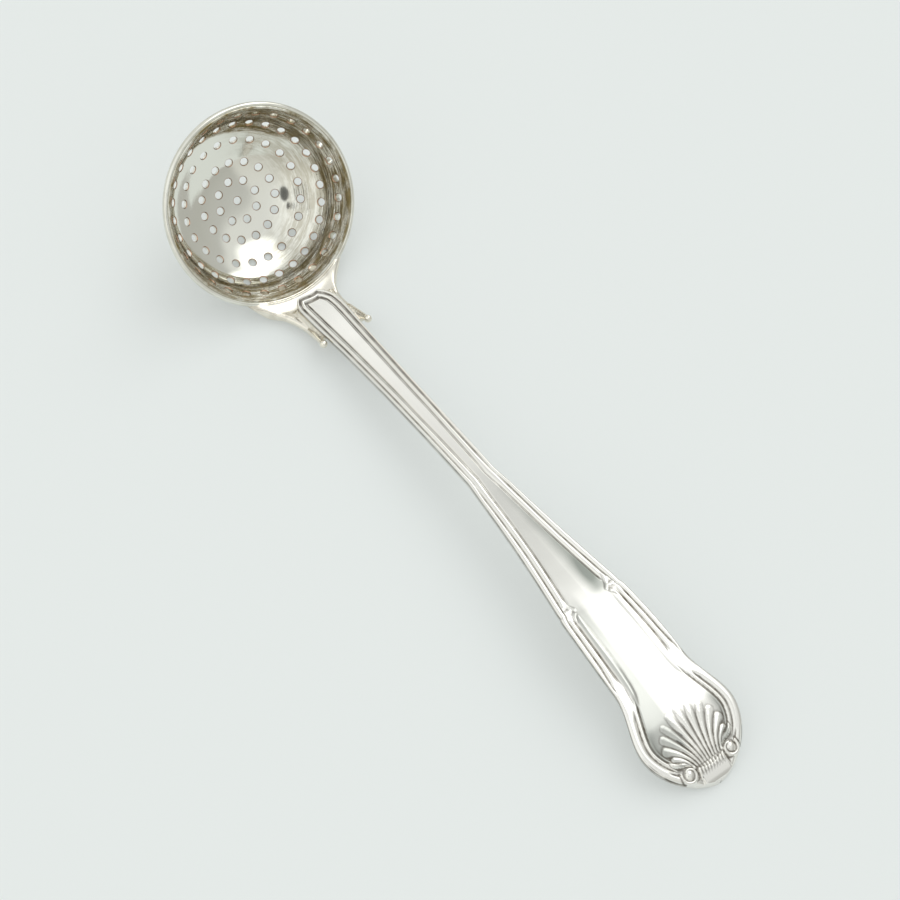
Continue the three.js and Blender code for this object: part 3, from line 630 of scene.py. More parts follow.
class LADLE_OT_bowl(bpy.types.Operator):
    """Raise the bowl, planish its wall and pierce it"""
    bl_idname = "ladle.bowl"
    bl_label = "Bowl"

    def execute(self, context):
        sizes = context.scene.ladle_bowl
        points, faces = bowl_skin(sizes)
        blank = closed_mesh("bowl_blank", points, faces)
        silver = planished_silver(sizes)
        tree, inputs = piercing_tree(sizes, silver, pierced_edge_silver())
        modifier = blank.modifiers.new("piercing", "NODES")
        modifier.node_group = tree
        for identifier, value in inputs.items():
            modifier[identifier] = value
        pierced = blank.evaluated_get(context.evaluated_depsgraph_get())
        mesh = bpy.data.meshes.new_from_object(pierced)
        bpy.data.objects.remove(blank)
        bowl = bpy.data.objects.new("bowl_pierced", mesh)
        context.scene.collection.objects.link(bowl)
        if len(mesh.polygons) < len(faces):
            raise RuntimeError("the bowl was not pierced")
        self.finish_surface(sizes, bowl)
        bowl["holes"] = sum(sizes.ring_counts) + 1
        settle(bowl, "bowl", silver)
        return {"FINISHED"}

    def finish_surface(self, sizes, bowl):
        """Hammers the inside, spreads the khaki of tarnish and painted shade, and puts the bowl in its place with
        its foot on the table.
        """
        vertices = bowl.data.vertices
        points = read(vertices, "co", 3) / MM
        radius_line, height_line, arc_line = wall_curve(sizes, 0, 700)
        radius = np.hypot(points[:, 0], points[:, 1])
        number, off_inside = nearest(np.stack([radius_line, height_line], 1), zip(radius, points[:, 2]))
        arc, turn = arc_line[number], np.arctan2(points[:, 1], points[:, 0])
        lip_height = -in_mm(sizes.wall) * 0.6
        floor_arc = in_mm(sizes.floor_arc)
        hammered, plain = wall_normals(sizes, points, arc, turn)
        marks = in_mm(sizes.planishing) * hammer_marks(arc, turn, floor_arc)
        inside = (off_inside < SAME_PLACE) & (points[:, 2] < lip_height)
        moved = points + np.where(inside[:, None], hammered * marks[:, None], 0)
        vertices.foreach_set("co", (moved * MM).ravel())
        # One unit of the streaks' pattern is a seventh of a radian round the bowl and 0.8 mm along the wall
        store(bowl, "hammering", "FLOAT_VECTOR", np.stack([7 * np.cos(turn), 7 * np.sin(turn), arc * 1.3], 1))
        # The khaki of tarnish and painted shade starts lower on the wall's far side
        start = floor_arc - 1.0 - 3.8 * round_bump(turn, STREAK_SIDE, STREAK_WIDTH)
        # A painted cream reflection: one side of the floor is tinted towards the khaki colour
        tint = PAINTED_REFLECTION_SHARE * ease((arc - 7) / 8) * ease((np.cos(turn - PAINTED_REFLECTION_SIDE) + 0.35) / 0.9)
        tarnish = np.maximum(np.clip((arc - start) / 1.1, 0, 1), tint)
        # Share of khaki at each point: tarnish and painted shade on the wall, a painted reflection on one side of
        # the floor
        store(bowl, "wall", "FLOAT", tarnish * np.where(off_inside < SKIN_REACH, 1, 0.25))
        bowl.data.transform(bowl_matrix(sizes))
        placed = read(vertices, "co", 3)
        placed[:, 2] = np.maximum(placed[:, 2], 0)
        vertices.foreach_set("co", placed.ravel())
        bowl.data.update()
        turned = np.array(bowl_matrix(sizes).to_3x3()).T
        self.set_normals(bowl.data, hammered @ turned, -(plain @ turned), points[:, 2] > lip_height)

    def set_normals(self, mesh, inner, outer, at_lip):
        """Sets smooth normals on the wall's inside, outside and lip, and leaves the holes' walls flat."""
        corner = read(mesh.loops, "vertex_index", kind=np.int32)
        corners = read(mesh.polygons, "loop_total", kind=np.int32)
        flat = np.repeat(read(mesh.polygons, "normal", 3), corners, axis=0)
        edge = next((i for i, m in enumerate(mesh.materials) if m and m.name.startswith("pierced")), -1)
        cut = np.repeat(read(mesh.polygons, "material_index", kind=np.int32), corners) == edge
        facing = np.einsum("ij,ij->i", flat, inner[corner])
        tests = [cut, at_lip[corner], facing > 0.7, facing < -0.7]
        choices = [flat, read(mesh.vertices, "normal", 3)[corner], inner[corner], outer[corner]]
        chosen = np.select([test[:, None] for test in tests], choices, flat)
        mesh.shade_smooth()
        mesh.normals_split_custom_set(chosen.tolist())


class LADLE_OT_rim(bpy.types.Operator):
    """Bend the half-round wire round the bowl's mouth"""
    bl_idname = "ladle.rim"
    bl_label = "Rim wire"

    def execute(self, context):
        sizes, bowl = context.scene.ladle_rim, context.scene.ladle_bowl
        inner = in_mm(bowl.mouth_radius + bowl.wall) - WIRE_BITE
        width, height = in_mm(sizes.width) + WIRE_SPREAD, in_mm(sizes.height)
        arch = [(inner + width * (0.25 + 0.75 * math.cos(a)), -height / 2 + height / 2 * math.sin(a))
                for a in np.linspace(-math.pi / 2, math.pi / 2, 19)[1:-1]]
        profile = [(inner + 0.1, -height + 0.05), *arch, (inner + 0.12, -0.03), (inner, -0.15),
                   (inner, -height + 0.15)]

        def swell(radius, along, turn):
            """Widens the wire towards the handle."""
            extra = in_mm(sizes.swell) * round_bump(turn, 0, sizes.swell_angle)
            return inner + (radius - inner) * (1 + extra / width), along

        wire = closed_mesh("rim_wire_bead", *turned_skin(profile, BOWL_SEGMENTS, swell))
        wire.data.transform(bowl_matrix(bowl))
        settle(wire, "rim_wire", drawn_wire_silver(bowl))
        return {"FINISHED"}


# Handle. Places are in plan millimetres: x from the middle of the bowl's mouth towards the tip, y from the
# handle's middle line.

FRONT_X, FRONT_REACH = 17.2, 14  # front of the root, and how far back its slant is felt
ROOT_X, KINK_X, NICK_X, WAIST_X, FULL_X, TIP_X = 18.6, 78.6, 115.1, 134.1, 146.6, 157.9
ROOT_HALF_LEFT = [(17, 4.7), (20, 4.68), (25, 4.42), (35, 3.88), (50, 3.5), (65, 3.37), (78.6, 3.35)]
ROOT_HALF_RIGHT = [(17, 4.15), (23.4, 4.15), (26, 4.2), (30, 4.05), (35, 3.85), (50, 3.5), (65, 3.37),
                   (78.6, 3.35)]
# Front end of the handle in plan, from the left corner, over the slanting front and its nick, to the right side
ROOT_FRONT = [(-4.7, 20.2), (-4.55, 19.1), (-4.3, 18.5), (-3.8, 17.75), (-3.2, 17.2), (-2.2, 17.3), (-1.0, 17.55),
              (0.0, 17.68), (0.9, 17.62), (1.5, 17.6), (1.8, 17.95), (2.1, 18.25), (2.6, 18.75), (3.0, 19.3),
              (3.5, 20.2), (3.8, 21.1), (4.0, 22.2), (4.15, 23.6)]
NICK_DEPTH, NICK_REACH = 0.1, 1.2
KINK_STEP, FLARE_HOLLOW, FIDDLE_HOLLOW = 0.1, 0.35, 0.85  # how the outline steps out and hollows in
END_ROUNDNESS = 1.8  # power of the tip's outline; 2 is an ellipse
# Points of the upper face's middle line: distance, height over the table and slope
SPINE = [(18.6, 5.545, 0.04), (31.8, 6.845, 0.135), (104.6, 12.7, 0.0), (134.1, 10.6, -0.24), (157.9, 2.2, -0.5)]
# Thread pattern: where the outer and the inner thread end, seen from the outline, and how much of each shows
OUTER_GROOVE = [(17, 0.95), (25, 0.95), (35, 0.82), (60, 0.85), (79, 0.95), (82, 0.95), (100, 1.35), (112, 1.35),
                (117, 1.2), (128, 1.15), (134.4, 0.6), (134.6, 2.0), (160, 2.0)]
INNER_GROOVE = [(17, 2.2), (25, 2.25), (35, 2.1), (60, 2.1), (80, 2.35), (100, 2.7), (113, 2.8), (117, 2.3),
                (125, 2.4), (133.5, 2.4), (136, 2.95), (138, 3.0), (160, 3.0)]
OUTER_SHOWS = [(17, 1), (73, 1), (78.5, 0.5), (80.5, 0.5), (84, 1), (132.8, 1), (134.4, 0), (138.2, 0), (140.4, 1),
               (152.2, 1), (153.6, 0)]
INNER_SHOWS = [(17, 1), (111.8, 1), (113.4, 0), (116, 0), (117.6, 1), (131, 1), (133.4, 0), (135.2, 0), (138.5, 1),
               (151.5, 1), (152.5, 0)]
VALLEY = [(17, 0.34), (30, 0.27), (60, 0.2), (78, 0.15), (160, 0.15)]  # width between the two threads
DEEPER = [(17, 1.9), (30, 1.7), (60, 1.35), (82, 1.0), (160, 1.0)]  # times the grooves' stated depth
GROOVE_TARNISH = [(17, 1.9), (40, 1.5), (80, 1.0), (140, 0.9), (146, 1.2), (153.4, 1.3), (154.2, 0.7), (160, 0.6)]
CROWN = [(17, 0.4), (78, 0.4), (112, 1), (160, 1)]  # times the panel's stated crown
# Shell: end and bend of each lobe from the middle one outwards, and how full a lobe is along its length
LOBE_TIPS = [(141.6, 0.0), (142.0, 2.75), (143.4, 5.0), (145.3, 6.6), (147.6, 7.5), (150.0, 7.1)]
LOBE_BENDS = [(148.0, 0.0), (148.9, 0.85), (149.3, 1.75), (149.7, 2.65), (150.2, 3.6), (150.9, 4.4)]
LOBE_SWELL = [(0, 0.75), (0.2, 1.0), (0.55, 0.8), (0.8, 0.55), (0.93, 0.34)]
LOBE_ROOT_X, LOBE_PITCH, RIDGE_PITCH = 153.5, 0.68, 0.72
BAND_X, BAND_HALF_LENGTH, BAND_HALF_WIDTH, BAND_RISE = 155.8, 2.0, 3.4, 0.5
# How far the ground sinks round the shell and behind its band, falls off at the tip's edge and rises in a rim
SHELL_SINK, TIP_SINK, TIP_FALL, TIP_RIM = 0.34, 0.28, 0.35, 0.3
RIDGE_OVER_BAND = [(153.6, 0.2), (154.2, 0.3), (155.0, 0.22), (155.9, 0.0)]
SCROLL_EYE = (154.25, 5.15)
SCROLL_LEAF = [(150.5, 7.35), (151.1, 7.1), (151.6, 6.4), (151.85, 5.6), (152.15, 4.8), (152.7, 4.0), (153.4, 3.3)]
# The commas beside the nick, each a bent line and its rise, and the ridge inside the fiddle's threads
CURLS = [(((110.8, 5.5), (113.6, 5.5), (115.1, 4.1)), 0.13), (((114.3, 6.6), (115.0, 5.8), (114.6, 4.9)), 0.17),
         (((119.0, 5.6), (116.6, 5.6), (115.9, 4.6)), 0.12)]
FIDDLE_RIDGE = [(116.0, 4.3), (118.0, 4.7), (122.0, 4.9), (130.0, 5.0), (135.0, 5.3), (137.3, 5.9), (139.2, 6.9)]
# Spans of the handle with the step between their rows of points: of the root, from its front, and of the rest
ROOT_ROWS = [(0, 9, 0.15), (9, 14, 0.4), (14, 54.8, 0.85)]
BODY_ROWS = [(72, 84, 0.4), (84, 109, 0.7), (109, 120, 0.2), (120, 134, 0.45), (134, 141.5, 0.25),
             (141.5, FULL_X, 0.15)]
TIP_ROWS, TOP_POINTS, UNDER_POINTS = 84, 173, 30


def half_width(sizes, x, side):
    """Half the handle's width in plan at a distance from the mouth's middle, on its left (-1) or right (1)."""
    stem, flare, fiddle, full = (in_mm(width) for width in (
        sizes.stem_half_width, sizes.flare_half_width, sizes.fiddle_half_width, sizes.terminal_half_width))
    nick = NICK_DEPTH * np.clip(1 - np.abs(x - NICK_X) / NICK_REACH, 0, 1)
    root = from_table(ROOT_HALF_LEFT if side < 0 else ROOT_HALF_RIGHT, x)
    t = (x - KINK_X) / (NICK_X - KINK_X)
    widening = (stem + KINK_STEP * ease((x - KINK_X) / 6) + (flare - stem - KINK_STEP) * t
                - FLARE_HOLLOW * np.sin(math.pi * np.clip(t, 0, 1)) - nick)
    t = (x - NICK_X) / (WAIST_X - NICK_X)
    violin = fiddle - FIDDLE_HOLLOW + FIDDLE_HOLLOW * np.sin(np.clip(t, 0, 1) * math.pi / 2) - nick
    neck = fiddle + (full - fiddle) * ease((x - WAIST_X) / (FULL_X - WAIST_X))
    u = np.clip((x - FULL_X) / (TIP_X - FULL_X), 0, 1)
    end = full * (1 - u ** END_ROUNDNESS) ** (1 / END_ROUNDNESS)
    return np.select([x <= KINK_X, x <= NICK_X, x <= WAIST_X, x <= FULL_X], [root, widening, violin, neck], end)


def spine_height(x):
    """Height of the handle's upper face over the table, along its middle."""
    x = np.asarray(x, float)
    heights, tests = [], []
    for (x0, z0, s0), (x1, z1, s1) in zip(SPINE, SPINE[1:]):
        run = x1 - x0
        t = np.clip((x - x0) / run, 0, 1)
        rise = ease(t)
        heights.append(z0 * (1 - rise) + z1 * rise + run * s0 * t * (1 - t) ** 2 - run * s1 * t * t * (1 - t))
        tests.append(x <= x1)
    return np.select(tests[:-1], heights[:-1], heights[-1])


def handle_thickness(x):
    """Thickness measured straight down: 3.1 at the root, 3.0 at the kink, 2.4 at the waist and 2.8 at the tip."""
    stem = 3.1 - 0.1 * np.clip((x - ROOT_X) / (KINK_X - ROOT_X), 0, 1)
    flare = 3.0 - 0.6 * ease((x - KINK_X) / (WAIST_X - KINK_X))
    end = 2.4 + 0.4 * ease((x - WAIST_X) / (TIP_X - WAIST_X))
    return np.select([x <= KINK_X, x <= WAIST_X], [stem, flare], end)


def half_round(share, depth, fullness=0.86):
    """A half-round thread over a share of its width from 0 to 1: 0 at its crown, minus the depth at its sides."""
    side = math.sqrt(1 - fullness)
    across = np.clip(2 * share - 1, -1, 1)
    return depth * ((np.sqrt(1 - fullness * across ** 2) - side) / (1 - side) - 1)


def thread_height(sizes, x, edge):
    """Height of the thread pattern at a distance from the outline, over the handle's upper face."""
    deep, sink = in_mm(sizes.groove_depth) * from_table(DEEPER, x), in_mm(sizes.panel_sink)
    outer, inner, valley = (from_table(rows, x) for rows in (OUTER_GROOVE, INNER_GROOVE, VALLEY))
    outer_on, inner_on = from_table(OUTER_SHOWS, x), from_table(INNER_SHOWS, x)
    two = np.where(edge < outer, half_round(edge / (outer - valley), deep),
                   half_round((edge - outer) / (inner - outer - valley), deep))
    one = half_round(edge / inner, deep, 0.97)
    threads = outer_on * two + (1 - outer_on) * one
    panel = -deep + (deep - sink) * ease((edge - inner) / 0.35)
    grooved = np.where(edge < inner, threads, panel)
    edge_only = np.where(edge < outer, half_round(edge / outer, deep), -sink * ease((edge - outer) / 1.0))
    edge_plain = -deep * np.clip(1 - edge / 0.8, 0, 1) ** 2 - sink * ease(edge / 1.5)
    plain = outer_on * edge_only + (1 - outer_on) * edge_plain
    return inner_on * grooved + (1 - inner_on) * plain


def bezier(start, bend, end, count):
    t = np.linspace(0, 1, count)[:, None]
    return (1 - t) ** 2 * np.array(start) + 2 * t * (1 - t) * np.array(bend) + t * t * np.array(end)


def smooth_line(corners, side):
    """A rounded path through corners in plan, on one side of the handle."""
    corners = np.array(corners) * (1, side)
    fine = np.linspace(0, len(corners) - 1, 140)
    line = [np.interp(fine, range(len(corners)), corners[:, i]) for i in (0, 1)]
    return np.stack([np.convolve(np.pad(row, 8, "edge"), np.ones(17) / 17, "valid") for row in line], 1)


def bead(points, path, radii, rise, fullness=0.5):
    """Height of a rounded bead that follows a path in plan, and 0 away from it. A fullness of 0.5 makes it half
    round, and a higher one softer at its sides."""
    path = np.asarray(path, float)
    radii, rise = (np.interp(np.linspace(0, 1, len(path)), np.linspace(0, 1, len(row)), row)
                   for row in (radii, rise))
    height = np.zeros(len(points))
    low, high = path.min(0) - radii.max(), path.max(0) + radii.max()
    near = np.nonzero(((points > low) & (points < high)).all(1))[0]
    if len(near):
        gap = np.linalg.norm(points[near][:, None, :] - path[None], axis=2)
        at = (gap / radii).argmin(1)
        share = gap[np.arange(len(near)), at] / radii[at]
        height[near] = rise[at] * np.clip(1 - share ** 2, 0, 1) ** fullness
    return height


def highest(points, beads):
    """Height of the highest of several beads at each point."""
    return np.max([bead(points, *one) for one in beads], axis=0)


def band_height(points):
    """Height of the gently rounded band at the shell's root."""
    along = np.clip(1 - ((points[:, 0] - BAND_X) / BAND_HALF_LENGTH) ** 2, 0, 1) ** 0.5
    return BAND_RISE * along * np.clip((BAND_HALF_WIDTH - np.abs(points[:, 1])) / 0.4, 0, 1) ** 0.5


def lobe_lines(shell):
    """Middle line of each lobe of the shell, from its root at the band to the middle of its round end."""
    half = (shell.lobes - 1) // 2
    lines = {}
    for number in range(-half, half + 1):
        rank, side = min(abs(number), len(LOBE_TIPS) - 1), math.copysign(1, number)
        bend, tip = (np.array(places[rank]) * (1, side) for places in (LOBE_BENDS, LOBE_TIPS))
        lines[number] = bezier((LOBE_ROOT_X, LOBE_PITCH * number), bend, tip, 60)
    return lines


def shell_height(shell, points):
    """Height of shell, band and scrolls over the ground, at points in plan on the terminal."""
    beads = []
    lines = lobe_lines(shell)
    for number, line in lines.items():
        others = [lines[n] for n in (number - 1, number + 1) if n in lines]
        radii = 0.64 * np.mean([np.linalg.norm(line - other, axis=1) for other in others], axis=0)
        radii[-8:] = radii[-8]
        keep = np.linalg.norm(line - line[-1], axis=1) >= radii[-1] * 0.92
        swell = from_table(LOBE_SWELL, np.linspace(0, 1, len(line))[keep])
        beads.append((line[keep], radii[keep], 0.04 + in_mm(shell.lobe_rise) * swell, 1.0))
    for ridge in range(shell.ridges):
        y = (ridge - (shell.ridges - 1) / 2) * RIDGE_PITCH
        path = bezier((153.6, y + 0.25), (154.6, y), (155.9, y - 0.3), 24)
        beads.append((path, [0.32, 0.38, 0.4], band_height(path) + from_table(RIDGE_OVER_BAND, path[:, 0])))
    eye = in_mm(shell.eye_radius)
    turn, reach = np.linspace(math.radians(115), math.radians(-190), 90), np.linspace(1.5, 0.85, 90) * eye
    for side in (-1, 1):
        centre = np.array(SCROLL_EYE) * (1, side)
        scroll = centre + np.stack([reach * np.cos(turn), side * reach * np.sin(turn)], 1)
        beads += [([centre, centre + (0.02, 0)], [0.95 * eye] * 2, [0.62] * 2, 0.8),
                  (scroll, [0.3, 0.4, 0.4, 0.36], [0.3, 0.46, 0.5, 0.45], 0.8),
                  (smooth_line(SCROLL_LEAF, side), [0.3, 0.5, 0.48, 0.36, 0.28], [0.4, 0.66, 0.62, 0.5, 0.35])]
    return np.maximum(band_height(points), highest(points, beads))


def curl_height(points):
    """The small commas in which the inner threads end on both sides of the nick, and the soft ridge that runs
    along the fiddle inside its threads."""
    beads = []
    for side, strength, ridge_rise in ((-1, 0.5, 0.26), (1, 1.0, 0.12)):
        for corners, rise in CURLS:
            line = bezier(*(np.array(corners) * (1, side)), 40)
            beads.append((line, [0.3, 0.5, 0.42], [0.0, rise * strength, rise * strength], 1.0))
        beads.append((smooth_line(FIDDLE_RIDGE, side), [0.3, 0.9, 1.0, 0.9, 0.4],
                      [0.0, ridge_rise, ridge_rise, ridge_rise, 0.0], 2.0))
    return highest(points, beads)


def handle_rows():
    """Distances of the rows of points along the handle, closest together where its relief is fine."""
    def fill(start, end, step):
        return np.linspace(start, end, max(1, round((end - start) / step)), endpoint=False)

    tip = FULL_X + (TIP_X - FULL_X) * 0.9996 * np.sin(np.linspace(0, 1, TIP_ROWS) * math.pi / 2)
    root, body = [FRONT_X + fill(*span) for span in ROOT_ROWS], [fill(*span) for span in BODY_ROWS]
    return np.concatenate([*root, *body, tip])


def handle_place(sizes, row, share):
    """Plan position of a point at a share of the width, from -1 on the left to 1 on the right. Near the root a
    row follows the handle's slanting front."""
    start = np.where(share < 0, ROOT_HALF_LEFT[0][1], ROOT_HALF_RIGHT[0][1]) * share
    fade = np.clip(1 - (row - FRONT_X) / FRONT_REACH, 0, 1) ** 2
    x = row + fade * (from_table(ROOT_FRONT, start) - FRONT_X)
    return x, share * np.where(share < 0, half_width(sizes, x, -1), half_width(sizes, x, 1))


def edge_distance(x, y):
    """Distance in plan from each point of the upper face to the handle's outline."""
    outline = [np.concatenate([grid[::-1, 0], grid[0, :], grid[:, -1], grid[-1, ::-1]]) for grid in (x, y)]
    run = np.concatenate([[0], np.cumsum(np.hypot(*(np.diff(line) for line in outline)))])
    at = np.linspace(0, run[-1], int(run[-1] / 0.06))
    fine = np.stack([np.interp(at, run, line) for line in outline], 1)
    near = nearest(fine, zip(x.ravel(), y.ravel()))[1].reshape(x.shape)
    near[:, [0, -1]] = near[[0, -1]] = 0
    return near


def cavity(x, height):
    """How far each point of the upper face lies under its surroundings, from 0 to 1."""
    total = np.zeros_like(height)
    for rows, columns in ((1, 1), (2, 2), (1, 3), (3, 1)):
        padded = np.pad(height, ((rows, rows), (columns, columns)), "edge")
        mean = (padded[:-2 * rows, columns:-columns] + padded[2 * rows:, columns:-columns]
                + padded[rows:-rows, :-2 * columns] + padded[rows:-rows, 2 * columns:]) / 4
        total += mean - height
    return np.clip(total * from_table(GROOVE_TARNISH, x) / 0.15, 0, 1) ** 0.7


def relief_height(sizes, shell, x, y, edge):
    """Height of the threads, panel, shell and curls over the plain upper face."""
    flat = np.stack([x.ravel(), y.ravel()], 1)
    crown = in_mm(sizes.panel_crown) * from_table(CROWN, x) * np.clip((edge - 1.5) / 6, 0, 1) ** 0.8
    relief = thread_height(sizes, x, edge) + crown
    ornament = shell_height(shell, flat).reshape(x.shape)
    sunk = SHELL_SINK * window(x, 143, 6, 155.6, 0.8) * ease((edge - 2.9) / 0.7)
    behind = ease((x - 151.5) / 1.2)
    low = TIP_SINK + TIP_FALL * np.clip(1 - edge / 0.8, 0, 1) ** 2
    ground = (relief - sunk) * (1 - behind) - low * behind
    half_round_rim = np.sqrt(np.clip(1 - ((edge - 0.675) / 0.575) ** 2, 0, 1))
    rim = behind * half_round_rim * TIP_RIM * ease((np.abs(y) - 3.3) / 1.2)
    onto = ease((x - 138) / 6)
    level = relief * (1 - onto) - (in_mm(sizes.panel_sink) + sunk) * onto
    height = np.maximum(ground + rim, np.where(ornament > 0, np.minimum(level, 0) + ornament, -9))
    return height + curl_height(flat).reshape(x.shape)


def painted_shade_share(x, y, edge):
    """Where a grey painted shade lies on the panel in place of darker reflections: along the flare's right side,
    in a darker patch by the nick and below the fiddle's ridge; and as painted shade on the sunk ground round the
    shell."""
    flare = 0.6 * ease((y + 0.4) / 3.4) * window(x, 76, 16, 113.6, 2.6) + 0.2 * window(x, 72, 14, 106, 8)
    patch = 0.5 * np.exp(-((x - 109.5) / 4.2) ** 2 - ((y - 3.3 + 0.12 * (x - 109.5)) / 1.5) ** 2)
    below = 0.55 * ease((-1.5 - y) / 1.6) * window(x, 110, 8, 148, 4)
    ground = np.where(y > 0, 0.6, 0.25) * window(x, 141, 4, 152, 2) * window(edge, 2.6, 0.5, 3.4, 1.8)
    return np.clip((flare + patch + below) * ease((edge - 2.5) / 0.5) + ground, 0, 1)


def zip_strip(upper, lower, points, turned):
    """Triangles between two lines of points that share their ends and both run from left to right."""
    faces, i, j = [], 0, 0
    while i < len(upper) - 1 or j < len(lower) - 1:
        step_up = j == len(lower) - 1 or (i < len(upper) - 1
                                          and points[upper[i + 1]][1] <= points[lower[j + 1]][1])
        corner = upper[i + 1] if step_up else lower[j + 1]
        face = (upper[i], corner, lower[j])
        if len(set(face)) == 3:
            faces.append(tuple(reversed(face)) if turned else face)
        i, j = (i + 1, j) if step_up else (i, j + 1)
    return faces


def handle_skin(sizes, shell):
    """Points and faces of the handle in plan millimetres, with the share of tarnish and of painted grey shade at
    each point.
    """
    rows = handle_rows()
    under = np.cos(np.linspace(0, math.pi, UNDER_POINTS + 2))[1:-1]
    x, y = handle_place(sizes, *np.meshgrid(rows, np.linspace(-1, 1, TOP_POINTS), indexing="ij"))
    edge = edge_distance(x, y)
    height = relief_height(sizes, shell, x, y, edge)
    hollow = cavity(x, height) * np.where(x > 156, ease((edge - 0.4) / 0.6), 1)
    row_grid, share_grid = np.meshgrid(rows, under, indexing="ij")
    x_low, y_low = handle_place(sizes, row_grid, share_grid)
    bulge = np.sqrt(np.clip(1 - np.abs(share_grid) ** 3.5, 0, 1))
    z_low = spine_height(x_low) - handle_thickness(x_low) * (0.5 + 0.5 * bulge)
    pairs = ((x, x_low), (y, y_low), (spine_height(x) + height, z_low))
    points = np.stack([np.hstack(pair) for pair in pairs], -1).reshape(-1, 3)
    points[:, 2] = np.maximum(points[:, 2], 0)
    count = TOP_POINTS + UNDER_POINTS
    faces = [(a, d, c, b) for a, b, c, d in ring_faces(len(rows), count)]
    last = (len(rows) - 1) * count
    under_line = [0, *range(count - 1, TOP_POINTS - 1, -1), TOP_POINTS - 1]
    faces += zip_strip(range(TOP_POINTS), under_line, points, False)
    faces += zip_strip(range(last, last + TOP_POINTS), [last + j for j in under_line], points, True)
    bare = np.zeros_like(x_low)
    return points, faces, np.hstack([hollow, bare]), np.hstack([painted_shade_share(x, y, edge), bare])


class LADLE_OT_handle(bpy.types.Operator):
    """Strike the handle with its threads and shell"""
    bl_idname = "ladle.handle"
    bl_label = "Handle"

    def execute(self, context):
        sizes = context.scene.ladle_handle
        points, faces, tarnish, painted_shade = handle_skin(sizes, context.scene.ladle_shell)
        handle = closed_mesh("handle_struck", points, faces)
        store(handle, "tarnish", "FLOAT", tarnish)
        # The painted grey shade on parts of the panel
        store(handle, "painted_shade", "FLOAT", painted_shade)
        shift_to_frame(handle)
        settle(handle, "handle", struck_silver(sizes))
        return {"FINISHED"}


# Yoke

# The yoke's tongue in plan, and how far its wings stand off the bowl at each angle round the mouth, in degrees
TONGUE_PLAN = [(12.0, -11.8), (14.0, -10.6), (15.7, -9.7), (17.0, -8.8), (18.7, -7.7), (20.5, -6.8), (22.3, -6.15),
               (24.9, -5.5), (28.4, -5.25), (28.6, 0.0), (29.5, 5.0), (29.4, 6.5), (28.0, 6.45), (26.1, 6.15),
               (24.0, 5.95), (21.5, 5.8), (19.6, 5.95), (17.6, 6.7), (15.9, 7.6), (14.5, 8.5), (12.0, 10.5)]
WING_REACH = [(-46, 0.2), (-38, 1.35), (-30, 2.1), (-20, 3.2), (-14, 4.2), (14, 3.9), (17, 2.9), (20, 2.1),
              (30, 1.35), (38, 0.6), (44, 0.2)]
WING_REACH_THICKNESS = 3.2  # the wing thickness that WING_REACH is drawn for
WIRE_REACH = 0.92  # from the bowl's outside to where the tongue rises beyond the rim wire
TONGUE_FRONT_X, TONGUE_UNDER = 14.2, 1.3  # its front, and how far it reaches below the handle's underside
SPURS = [((25.0, -4.8, 2.9), (30.1, -5.45, 5.3)), ((24.6, 5.3, 2.9), (30.3, 6.1, 5.0))]  # their two ends
SPUR_RADIUS = 0.62
# How softly the forged shapes run into each other
TONGUE_BLEND, TOP_BLEND, WING_BLEND, JOIN_BLEND, SPUR_BLEND, BALL_BLEND = 1.3, 1.0, 1.3, 2.4, 0.9, 0.15
GRID_LOW, GRID_HIGH, GRID_STEP = (6.6, -16.6, -0.4), (32.4, 16.7, 7.6), 0.2
TABLE_STEP, TABLE_RADIUS, TABLE_HEIGHT = 0.1, (8, 32), (-18, 6)  # of the table of distances from the wall


def polygon_distance(first, second, corners):
    """Signed distance from a grid of points to a closed outline, less than 0 inside."""
    points = np.stack(np.meshgrid(first, second, indexing="ij"), -1).reshape(-1, 2)
    corners = np.asarray(corners, float)
    near = np.full(len(points), 1e9)
    inside = np.zeros(len(points), bool)
    for a, b in zip(corners, np.roll(corners, -1, 0)):
        edge, to = b - a, points - a
        t = np.clip(to @ edge / (edge @ edge), 0, 1)
        near = np.minimum(near, np.linalg.norm(to - t[:, None] * edge, axis=1))
        crossing = (a[1] > points[:, 1]) != (b[1] > points[:, 1])
        level = a[0] + (points[:, 1] - a[1]) * edge[0] / (edge[1] if abs(edge[1]) > 1e-9 else 1e-9)
        inside ^= crossing & (points[:, 0] < level)
    return np.where(inside, -near, near).reshape(len(first), len(second))


def soft_max(a, b, blend):
    """The greater of two distances, with the corner between them rounded over the blend."""
    share = np.clip(0.5 - 0.5 * (a - b) / blend, 0, 1)
    return a * (1 - share) + b * share + blend * share * (1 - share)


def soft_min(a, b, blend):
    return -soft_max(-a, -b, blend)


